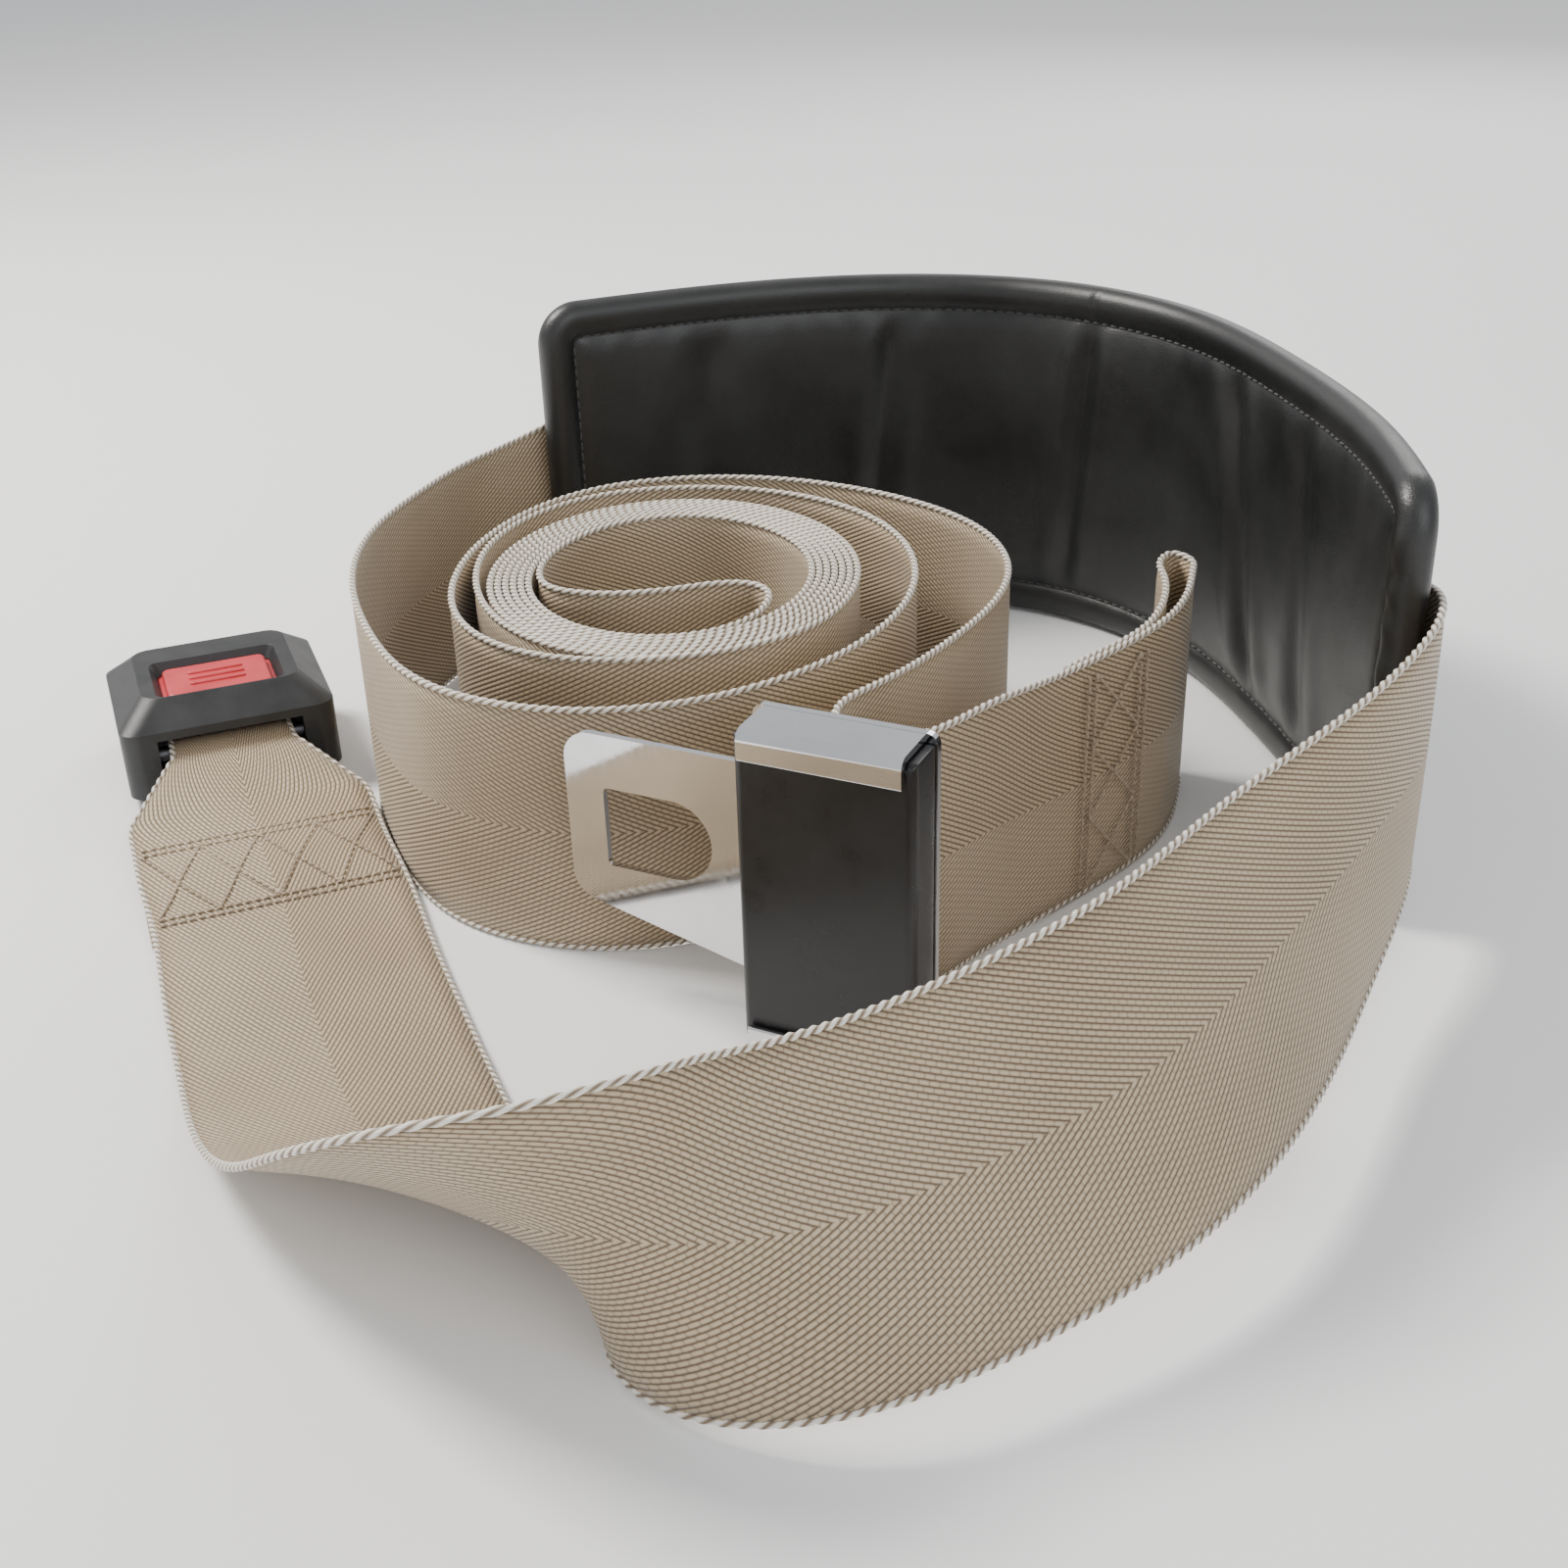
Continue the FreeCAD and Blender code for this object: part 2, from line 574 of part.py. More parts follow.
def side_flange(upper):
    """Edge strip rolled forward over the cover's end."""
    inner = PLATE_HEIGHT - FLANGE_STEEL
    lip = FLANGE_FRONT + FLANGE_STEEL
    profile = [
        (PLATE_HALF, inner - 4),
        (PLATE_HALF, PLATE_HEIGHT),
        (FLANGE_FRONT, PLATE_HEIGHT),
        (FLANGE_FRONT, PLATE_HEIGHT - FLANGE_DROP),
        (lip, PLATE_HEIGHT - FLANGE_DROP),
        (lip, inner),
        (-PLATE_HALF, inner),
        (-PLATE_HALF, inner - 4),
    ]
    radii = [0, 3, 3, 0.6, 0.6, 1.4, 0.6, 0]
    height = (lambda z: z) if upper else (lambda z: PLATE_HEIGHT - z)
    return slab([vec(3, y, height(z)) for y, z in profile], radii, vec(PLATE_LENGTH - 6, 0, 0))


def slide_bar():
    low = COVER_CLEAR + COVER_WALL
    return rod(BAR_RADIUS, vec(BAR_X, BAR_Y, low), vec(BAR_X, BAR_Y, PLATE_HEIGHT - low))


def slide_cover():
    """Open-backed moulded cover that holds both ends of the slide bar."""
    low = COVER_CLEAR
    high = PLATE_HEIGHT - COVER_CLEAR
    outside = box(0.5, PLATE_LENGTH - 0.5, COVER_FRONT, -PLATE_HALF - 0.3, low, high)
    front_edges = [edge for edge in outside.Edges if edge.BoundBox.YMax < COVER_FRONT + 0.01]
    outside = outside.makeFillet(2.5, front_edges)
    inside_start = 0.5 + COVER_WALL
    inside_front = COVER_FRONT + COVER_WALL
    inside_low = low + COVER_WALL
    inside_high = high - COVER_WALL
    inside = box(inside_start, PLATE_LENGTH - inside_start, inside_front, 1, inside_low, inside_high)
    return outside.cut(inside)


def tongue_parts():
    parts = {
        "tongue_latch_plate": tongue_plate(),
        "tongue_slide_bar": slide_bar(),
        "tongue_slide_cover": slide_cover(),
    }
    return placed(parts, TONGUE_PLACE, TONGUE_TURN)


# ---- strap ends round the two bars ---------------------------------------------------
def strap_buckle_end():
    """Doubled, tapered end sewn round the buckle's anchor bar."""
    inner = ANCHOR_RADIUS + HARDWARE_GAP
    outer = inner + STRAP_THICKNESS
    half = STRAP_END_WIDTH / 2
    left = vec(-half, 0, 0)
    right = vec(half, 0, 0)
    ring = rod(outer, left, right).cut(rod(inner, left, right))
    ring.translate(vec(0, ANCHOR_Y, ANCHOR_Z))
    doubled = 2 * STRAP_THICKNESS
    near = ANCHOR_Y - outer + 0.7
    places = [
        (near, half, ANCHOR_Z),
        (near - 12, half, ANCHOR_Z - 1.5),
        (-62.0, STRAP_MID, 6.5),
        (-104.0, STRAP_MID, 3.2),
    ]
    sections = []
    for y, half_width, z in places:
        low = z - doubled / 2
        section = [vec(-half_width, y, low), vec(half_width, y, low)]
        section += [vec(half_width, y, low + doubled), vec(-half_width, y, low + doubled)]
        sections.append(Part.makePolygon(section + section[:1]))
    tongue = Part.makeLoft(sections, True, True)
    return ring.fuse(tongue.cut(rod(inner, vec(-half, ANCHOR_Y, ANCHOR_Z), vec(half, ANCHOR_Y, ANCHOR_Z))))


def strap_bar_wrap():
    """Strap passing round the slide bar, with both legs out through the window."""
    inner = BAR_RADIUS + HARDWARE_GAP
    outer = inner + STRAP_THICKNESS
    low = PLATE_HEIGHT / 2 - STRAP_MID
    high = PLATE_HEIGHT / 2 + STRAP_MID
    rear = 6.0
    start = vec(BAR_X, BAR_Y, low)
    end = vec(BAR_X, BAR_Y, high)
    block = rod(outer, start, end).fuse(box(BAR_X - outer, BAR_X + outer, BAR_Y, rear, low, high))
    hollow = rod(inner, start, end).fuse(box(BAR_X - inner, BAR_X + inner, BAR_Y, rear + 1, low, high))
    return block.cut(hollow)


def bar_strap_parts():
    parts = placed({"strap_buckle_end": strap_buckle_end()}, BUCKLE_PLACE, BUCKLE_TURN)
    parts.update(placed({"strap_bar_wrap": strap_bar_wrap()}, TONGUE_PLACE, TONGUE_TURN))
    return parts


def main():
    os.makedirs("parts", exist_ok=True)
    parts = {}
    for group in (strap_parts, pad_parts, bar_strap_parts, buckle_parts, tongue_parts):
        parts.update(group())
    for name, shape in parts.items():
        shape.exportStep(os.path.join("parts", name + ".step"))
    whole = Part.Compound(list(parts.values())).BoundBox
    print(len(parts), "nodes, middle", whole.Center, "low", whole.ZMin)
    print("size", whole.XLength, whole.YLength, whole.ZLength)
    for name, shape in parts.items():
        print(name, shape.isValid(), len(shape.Solids), round(shape.Volume))


main()
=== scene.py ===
import math

import bmesh
import bpy
import numpy as np
from mathutils import Matrix, Vector


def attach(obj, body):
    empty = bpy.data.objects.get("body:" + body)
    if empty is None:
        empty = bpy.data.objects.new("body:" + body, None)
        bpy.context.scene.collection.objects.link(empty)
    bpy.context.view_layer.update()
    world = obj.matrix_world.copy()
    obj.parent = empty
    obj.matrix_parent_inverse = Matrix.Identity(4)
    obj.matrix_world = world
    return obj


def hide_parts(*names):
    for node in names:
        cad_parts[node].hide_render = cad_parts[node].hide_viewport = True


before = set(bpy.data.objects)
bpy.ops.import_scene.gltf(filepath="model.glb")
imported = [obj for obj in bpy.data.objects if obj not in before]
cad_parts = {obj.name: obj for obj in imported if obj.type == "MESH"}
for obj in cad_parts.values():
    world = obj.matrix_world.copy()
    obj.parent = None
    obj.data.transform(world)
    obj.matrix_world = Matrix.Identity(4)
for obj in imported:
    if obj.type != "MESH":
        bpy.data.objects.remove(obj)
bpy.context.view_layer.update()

MM = 0.001

# ---- sizes, in millimetres, the same as the CAD part's --------------------------------
STRAP_WIDTH = 75.0
STRAP_MID = STRAP_WIDTH / 2
STRAP_THICKNESS = 1.4
PAD_HEIGHT = 127.0
PAD_HALF = 6.0
PAD_MID = PAD_HEIGHT / 2
PAD_STRAP_MID = 52.0
PAD_STRAP_START = 51.0
PAD_STRAP_END = 45.0
PAD_STRAP_OFFSET = PAD_HALF + 1.0
SLEEVE_HEIGHT = 108.0
COIL_CENTRE = (-7.1, 58.2)
COIL_RADII = (58.0, 66.0)
COIL_FIRST_INSET = 0.7
COIL_PITCH = 4.65
BUCKLE_PLACE = (-162.1, 91.4)
BUCKLE_TURN = math.radians(21.0)
TONGUE_PLACE = (19.0, -74.0)
TONGUE_TURN = math.radians(-26.0)
BAR_X = 24.0
BAR_Y = -5.0
BAR_TURN_RADIUS = 4.0

# ---- the strap's line: x, y, height of its middle, tilt (90 lies flat) -----------------
BUCKLE_LEAD = [
    (-22.5, 19.4, 90.0),
    (-28.0, 18.6, 90.0),
    (-36.0, 16.4, 90.0),
    (-46.0, 12.6, 90.0),
    (-58.0, 8.3, 90.0),
    (-72.0, 5.6, 90.0),
    (-88.0, 4.6, 90.0),
]
FRONT_ROUTE = [
    (-124.0, -5.4, 3.0, 90.0),
    (-110.0, -43.6, 1.8, 90.0),
    (-94.8, -83.8, 2.2, 89.0),
    (-77.8, -125.8, 8.5, 80.0),
    (-56.8, -164.8, 20.5, 60.0),
    (-24.5, -199.0, 38.0, 19.0),
    (5.8, -205.5, 38.5, -18.0),
    (35.2, -202.5, 41.0, -32.0),
    (64.5, -189.5, 43.5, -33.0),
    (97.5, -169.0, 47.5, -30.0),
    (137.0, -123.5, 49.0, -24.0),
    (170.0, -82.0, 54.0, -8.0),
    (197.7, -33.8, 58.5, 0.0),
    (200.1, -9.0, 53.4, 0.0),
]
PAD_ROUTE = [
    (188.7, -36.8),
    (193.2, 18.2),
    (185.7, 88.2),
    (166.7, 152.2),
    (131.2, 193.2),
    (66.7, 213.2),
    (-2.8, 202.2),
    (-56.3, 181.2),
]
LOOP_ROUTE = [
    (-25.7, 201.8, 51.8),
    (-37.0, 197.3, 50.0),
    (-48.1, 192.7, 46.3),
    (-59.2, 188.0, 42.5),
    (-71.5, 181.6, 39.6),
    (-82.5, 171.5, 38.2),
    (-95.0, 146.0, 37.5),
    (-105.3, 111.0, 37.5),
    (-107.3, 78.2, 37.5),
    (-92.8, 19.2, 37.5),
    (-68.8, -20.3, 37.5),
    (-24.8, -38.8, 37.5),
    (15.2, -29.3, 37.5),
    (53.7, 8.2, 37.5),
    (67.7, 56.2, 37.5),
    (52.2, 108.2, 37.5),
    (5.2, 135.7, 37.5),
    (-40.8, 127.2, 37.5),
    (-62.3, 99.2, 37.5),
    (-67.3, 64.2, 37.5),
]
HAIRPIN_ROUTE = [
    (18.3, 21.5),
    (22.2, 31.0),
    (22.6, 39.5),
    (19.0, 45.6),
    (11.0, 47.8),
    (-4.0, 44.6),
    (-18.8, 42.0),
    (-33.0, 43.4),
    (-42.8, 48.6),
]
RETURN_ROUTE = [
    (-48.8, 2.2, 37.5),
    (-66.8, 24.2, 37.5),
    (-73.3, 58.2, 37.5),
    (-66.8, 96.2, 37.5),
    (-36.8, 137.2, 37.5),
    (14.2, 145.7, 37.5),
    (60.2, 125.2, 37.5),
    (90.2, 89.2, 37.5),
    (95.7, 51.2, 37.5),
    (75.2, 0.2, 38.5),
    (51.2, -37.8, 42.0),
    (39.2, -61.8, 45.0),
]
TAIL_ROUTE = [
    (55.2, -76.3, 45.0),
    (76.2, -54.8, 42.0),
    (93.2, -34.3, 38.5),
    (113.2, -14.8, 37.5),
    (127.2, -0.8, 37.5),
    (139.2, 15.2, 37.5),
    (146.4, 31.0, 37.5),
    (151.0, 47.0, 37.5),
    (151.4, 56.5, 37.5),
    (147.4, 60.6, 37.5),
    (143.0, 55.8, 37.5),
    (141.4, 44.0, 37.5),
    (139.4, 30.0, 37.5),
    (134.2, 14.6, 37.5),
    (124.9, -0.4, 37.5),
    (111.9, -13.1, 37.5),
    (101.8, -23.6, 37.8),
]

# ---- webbing's make-up -----------------------------------------------------------------
RIBBON_COLUMNS = 13
RIBBON_INSET = 0.5
CORD_PERIOD = 6.0
CORD_RADIUS = 0.82
TWILL_LEAN = math.radians(62)
TWILL_RIB = 0.00135
TWILL_STITCH = 0.0024
STITCH_RADIUS = 0.42
SEAM_STITCH_RADIUS = 0.36

# ---- camera ----------------------------------------------------------------------------
CAMERA_PLACE = (0.0257, -0.4928, 0.2894)
CAMERA_PITCH = math.radians(27.75)
CAMERA_ROLL = math.radians(-1.79)
CAMERA_LENS = 44.03


# ---- curves ----------------------------------------------------------------------------
def spline(knots, values, at):
    """Smooth cubic through the values, flat at both ends."""
    count = len(knots)
    gaps = np.diff(knots)
    system = np.eye(count)
    right = np.zeros(values.shape)
    slopes = np.diff(values, axis=0) / gaps[:, None]
    for i in range(1, count - 1):
        system[i, i - 1:i + 2] = gaps[i - 1], 2 * (gaps[i - 1] + gaps[i]), gaps[i]
        right[i] = 6 * (slopes[i] - slopes[i - 1])
    second = np.linalg.solve(system, right)
    i = np.clip(np.searchsorted(knots, at, side="right") - 1, 0, count - 2)
    gap = gaps[i][:, None]
    a = (knots[i + 1] - at)[:, None] / gap
    b = 1 - a
    bend = (a**3 - a) * second[i] + (b**3 - b) * second[i + 1]
    return a * values[i] + b * values[i + 1] + bend * gap**2 / 6


def resampled(rows, step):
    """Rows of x, y, z, tilt spread evenly along the smooth line through them."""
    rows = np.array(rows, dtype=float)
    chords = np.linalg.norm(np.diff(rows[:, :3], axis=0), axis=1)
    knots = np.concatenate([[0], np.cumsum(chords)])
    fine = np.linspace(0, knots[-1], int(knots[-1] / 0.25))
    line = spline(knots, rows, fine)
    travel = np.linalg.norm(np.diff(line[:, :3], axis=0), axis=1)
    length = np.concatenate([[0], np.cumsum(travel)])
    places = np.linspace(0, length[-1], int(length[-1] / step) + 1)
    even = np.array([np.interp(places, length, line[:, k]) for k in range(4)]).T
    return places, even


def unit(vectors):
    return vectors / np.linalg.norm(vectors, axis=-1, keepdims=True)


def local_place(point, origin, turn):
    x, y = point
    return (
        origin[0] + x * math.cos(turn) - y * math.sin(turn),
        origin[1] + x * math.sin(turn) + y * math.cos(turn),
    )


def pad_line(step=1.0):
    """Distance along the pad, its middle line in plan and the outward direction."""
    rows = [(x, y, 0.0, 0.0) for x, y in PAD_ROUTE]
    places, even = resampled(rows, step)
    plan = even[:, :2]
    along = unit(np.gradient(plan, axis=0))
    outward = np.stack([along[:, 1], -along[:, 0]], axis=1)
    return places, plan, outward


def pad_strap_rows():
    places, plan, outward = pad_line()
    stations = np.linspace(PAD_STRAP_START + 6, places[-1] - PAD_STRAP_END - 4, 10)
    rows = []
    for place in stations:
        i = int(np.argmin(abs(places - place)))
        x, y = plan[i] + outward[i] * PAD_STRAP_OFFSET
        rows.append((x, y, PAD_STRAP_MID, 0.0))
    return rows


def coil_rows(first_turn, last_turn, inset):
    """Stations on the winding, from one turn count to another."""
    count = int(abs(last_turn - first_turn) * 18) + 1
    rows = []
    for turn in np.linspace(first_turn, last_turn, count):
        angle = math.pi + 2 * math.pi * turn
        shrink = inset + COIL_PITCH * turn
        x = COIL_CENTRE[0] + (COIL_RADII[0] - shrink) * math.cos(angle)
        y = COIL_CENTRE[1] + (COIL_RADII[1] - shrink) * math.sin(angle)
        rows.append((x, y, STRAP_MID, 0.0))
    return rows


def bar_rows():
    """The turn round the slide bar."""
    rows = []
    places = [(BAR_X - BAR_TURN_RADIUS, 4.0)]
    for degrees in range(180, 361, 30):
        angle = math.radians(degrees)
        x = BAR_X + BAR_TURN_RADIUS * math.cos(angle)
        y = BAR_Y + BAR_TURN_RADIUS * math.sin(angle)
        places.append((x, y))
    places.append((BAR_X + BAR_TURN_RADIUS, 4.0))
    for place in places:
        x, y = local_place(place, TONGUE_PLACE, TONGUE_TURN)
        rows.append((x, y, 46.0, 0.0))
    return rows


def strap_rows():
    rows = []
    for y, z, tilt in BUCKLE_LEAD:
        rows.append((*local_place((0.0, y), BUCKLE_PLACE, BUCKLE_TURN), z, tilt))
    rows += FRONT_ROUTE
    rows += pad_strap_rows()
    rows += [(x, y, z, 0.0) for x, y, z in LOOP_ROUTE]
    rows += coil_rows(0.12, 3.28, COIL_FIRST_INSET)
    rows += [(x, y, STRAP_MID, 0.0) for x, y in HAIRPIN_ROUTE]
    rows += coil_rows(2.96, -0.62, COIL_FIRST_INSET + COIL_PITCH / 2)
    rows += [(x, y, z, 0.0) for x, y, z in RETURN_ROUTE]
    rows += bar_rows()
    rows += [(x, y, z, 0.0) for x, y, z in TAIL_ROUTE]
    return rows


class Strap:
    """The strap's middle line with its across and face directions at even steps."""

    def __init__(self, rows, step):
        self.places, even = resampled(rows, step)
        self.centre = even[:, :3]
        along = unit(np.gradient(self.centre, axis=0))
        up = np.array([0.0, 0.0, 1.0])
        upright = unit(up - along * along[:, 2:3])
        sideways = np.cross(along, upright)
        tilt = np.radians(even[:, 3:4])
        self.across = upright * np.cos(tilt) + sideways * np.sin(tilt)
        self.normal = np.cross(self.across, along)
        self.half = self.half_widths()

    def half_widths(self):
        """Folded narrow at the buckle, full width from the shoulders on."""
        return np.interp(self.places, [0, 10, 36, 41], [19.5, 20.0, 36.6, STRAP_MID])

    def at(self, place, across, lift):
        """Point on the strap: distance along, distance across, height off its middle."""
        i = np.clip(np.searchsorted(self.places, place), 1, len(self.places) - 1)
        share = (place - self.places[i - 1]) / (self.places[i] - self.places[i - 1])
        centre = self.centre[i - 1] * (1 - share) + self.centre[i] * share
        return centre + self.across[i] * across + self.normal[i] * lift

    def nearest(self, x, y, low, high):
        inside = (self.places >= low) & (self.places <= high)
        gap = np.linalg.norm(self.centre[:, :2] - np.array([x, y]), axis=1)
        gap[~inside] = 1e9
        return self.places[int(np.argmin(gap))]


# ---- meshes ----------------------------------------------------------------------------
def new_object(name, verts, faces, material, corner_uvs=None):
    """Smooth-shaded mesh object from points in millimetres, with a uv pair for each face corner."""
    mesh = bpy.data.meshes.new(name)
    mesh.from_pydata((np.asarray(verts) * MM).tolist(), [], faces)
    if corner_uvs is not None:
        layer = mesh.uv_layers.new(name="UVMap")
        layer.data.foreach_set("uv", np.asarray(corner_uvs, dtype=np.float32).ravel())
    mesh.materials.append(material)
    mesh.polygons.foreach_set("use_smooth", [True] * len(mesh.polygons))
    obj = bpy.data.objects.new(name, mesh)
    bpy.context.scene.collection.objects.link(obj)
    return obj


def swept(name, rings, along_uv, round_uv, material):
    """Closed tube through rings of points; the uvs run along it and round it, in metres."""
    rings = np.asarray(rings)
    count, sides, _ = rings.shape
    i, j = np.meshgrid(np.arange(count - 1), np.arange(sides), indexing="ij")
    j_next = (j + 1) % sides
    ring = i * sides
    next_ring = ring + sides
    quads = np.stack([ring + j, ring + j_next, next_ring + j_next, next_ring + j], axis=-1)
    quads = quads.reshape(-1, 4)
    corner_i = np.stack([i, i, i + 1, i + 1], axis=-1).reshape(-1, 4)
    corner_j = np.stack([j, j + 1, j + 1, j], axis=-1).reshape(-1, 4)
    uv = np.stack([np.asarray(along_uv)[corner_i], np.asarray(round_uv)[corner_j]], axis=-1).reshape(-1, 2)
    faces = quads.tolist()
    corners = uv.tolist()
    first = list(range(sides))[::-1]
    last = [(count - 1) * sides + k for k in range(sides)]
    for face, row in ((first, 0), (last, count - 1)):
        faces.append(face)
        corners += [[float(along_uv[row]), float(round_uv[k % sides])] for k in face]
    return new_object(name, rings.reshape(-1, 3), faces, material, corners)


def ribbon(name, strap, material):
    """The webbing's body, slightly cupped across its width."""
    place = strap.places
    half = strap.half[:, None, None]
    share = np.linspace(-1, 1, RIBBON_COLUMNS)
    thin = np.where(abs(share) > 0.97, 0.55, 1.0) * STRAP_THICKNESS / 2
    shares = np.concatenate([share, share[::-1]])
    lifts = np.concatenate([thin, -thin])
    wave = 0.25 * np.sin(place / 23.0) * np.sin(place / 61.0 + 1.0)
    cup = wave[:, None] * (1 - shares[None, :] ** 2) * 1.4
    centre = strap.centre[:, None, :]
    across = strap.across[:, None, :] * shares[None, :, None] * (half - RIBBON_INSET)
    normal = strap.normal[:, None, :] * (lifts[None, :] + cup)[:, :, None]
    rings = centre + across + normal
    round_uv = np.concatenate([shares, shares[:1]]) * STRAP_MID * MM
    return swept(name, rings, place * MM, round_uv, material)


def selvedge(name, strap, side, material):
    """Twisted edge of the webbing: two strands laid round each other."""
    angles = np.linspace(0, 2 * math.pi, 9)[:-1]
    place = strap.places[:, None]
    twist = 2 * math.pi * place / CORD_PERIOD * side
    radius = CORD_RADIUS * (1 + 0.24 * np.cos(2 * (angles[None, :] - twist)))
    centre = strap.centre + strap.across * (side * (strap.half - 0.85))[:, None]
    flat = (np.cos(angles)[None, :] * radius)[:, :, None]
    tall = (np.sin(angles)[None, :] * radius)[:, :, None]
    rings = centre[:, None, :] + strap.across[:, None, :] * flat + strap.normal[:, None, :] * tall * 1.12
    round_uv = np.linspace(0, 1, 9)
    return swept(name, rings, strap.places * MM, round_uv, material)


def threads(name, stitches, radius, material):
    """Short raised stitches. Each is a start, an end and the direction that it stands out."""
    shape = [(0.0, -0.9), (0.12, 0.35), (0.5, 0.75), (0.88, 0.35), (1.0, -0.9)]
    sides = 6
    verts = []
    faces = []
    for start, end, out in stitches:
        start = np.asarray(start)
        along = unit(np.asarray(end) - start)
        length = np.linalg.norm(np.asarray(end) - start)
        side = np.cross(along, out)
        base = len(verts)
        for share, height in shape:
            middle = start + along * share * length + out * height * radius
            thick = radius * (1.0 if 0 < share < 1 else 0.55)
            for k in range(sides):
                angle = 2 * math.pi * k / sides
                verts.append(middle + (side * math.cos(angle) + out * math.sin(angle)) * thick)
        for ring in range(len(shape) - 1):
            for k in range(sides):
                a = base + ring * sides + k
                b = base + ring * sides + (k + 1) % sides
                faces.append([a, b, b + sides, a + sides])
        faces.append([base + k for k in range(sides)][::-1])
        faces.append([base + (len(shape) - 1) * sides + k for k in range(sides)])
    return new_object(name, verts, faces, material)


# ---- materials -------------------------------------------------------------------------
class Nodes:
    """Short names for the nodes that the materials are made of."""

    def __init__(self, name):
        self.material = bpy.data.materials.new(name)
        self.material.use_nodes = True
        self.tree = self.material.node_tree
        self.shader = self.tree.nodes["Principled BSDF"]

    def add(self, kind, **values):
        node = self.tree.nodes.new(kind)
        for key, value in values.items():
            setattr(node, key, value)
        return node

    def link(self, source, target):
        self.tree.links.new(source, target)

    def put(self, value, socket):
        if isinstance(value, (int, float)):
            socket.default_value = value
        else:
            self.link(value, socket)

    def math(self, operation, *values):
        node = self.add("ShaderNodeMath", operation=operation)
        for value, socket in zip(values, node.inputs):
            self.put(value, socket)
        return node.outputs[0]

    def uv(self):
        node = self.add("ShaderNodeTexCoord")
        split = self.add("ShaderNodeSeparateXYZ")
        self.link(node.outputs["UV"], split.inputs[0])
        return split.outputs[0], split.outputs[1]

    def noise(self, scale, detail=3.0, roughness=0.5, stretch=None):
        place = self.add("ShaderNodeTexCoord").outputs["Object"]
        if stretch:
            mapping = self.add("ShaderNodeMapping")
            mapping.inputs["Scale"].default_value = stretch
            self.link(place, mapping.inputs["Vector"])
            place = mapping.outputs["Vector"]
        node = self.add("ShaderNodeTexNoise")
        node.inputs["Scale"].default_value = scale
        node.inputs["Detail"].default_value = detail
        node.inputs["Roughness"].default_value = roughness
        self.link(place, node.inputs["Vector"])
        return node.outputs["Fac"]

    def cells(self, scale):
        place = self.add("ShaderNodeTexCoord").outputs["Object"]
        node = self.add("ShaderNodeTexVoronoi", feature="DISTANCE_TO_EDGE")
        node.inputs["Scale"].default_value = scale
        self.link(place, node.inputs["Vector"])
        return node.outputs["Distance"]

    def spread(self, value, low, high, to_low=0.0, to_high=1.0):
        node = self.add("ShaderNodeMapRange")
        self.put(value, node.inputs["Value"])
        for key, number in (("From Min", low), ("From Max", high), ("To Min", to_low), ("To Max", to_high)):
            node.inputs[key].default_value = number
        return node.outputs["Result"]

    def mix(self, share, first, second, blend="MIX"):
        node = self.add("ShaderNodeMix", data_type="RGBA", blend_type=blend)
        self.put(share, node.inputs["Factor"])
        for value, socket in ((first, node.inputs["A"]), (second, node.inputs["B"])):
            if isinstance(value, tuple):
                socket.default_value = (*value, 1.0)
            else:
                self.link(value, socket)
        return node.outputs["Result"]

    def bump(self, height, distance, strength, under=None):
        node = self.add("ShaderNodeBump")
        node.inputs["Strength"].default_value = strength
        node.inputs["Distance"].default_value = distance
        self.link(height, node.inputs["Height"])
        if under is not None:
            self.link(under, node.inputs["Normal"])
        return node.outputs["Normal"]

    def finish(self, colour=None, roughness=None, normal=None, **fixed):
        for value, key in ((colour, "Base Color"), (roughness, "Roughness")):
            if isinstance(value, tuple):
                self.shader.inputs[key].default_value = (*value, 1.0)
            elif value is not None:
                self.put(value, self.shader.inputs[key])
        if normal is not None:
            self.link(normal, self.shader.inputs["Normal"])
        for key, value in fixed.items():
            self.shader.inputs[key.replace("_", " ")].default_value = value
        return self.material


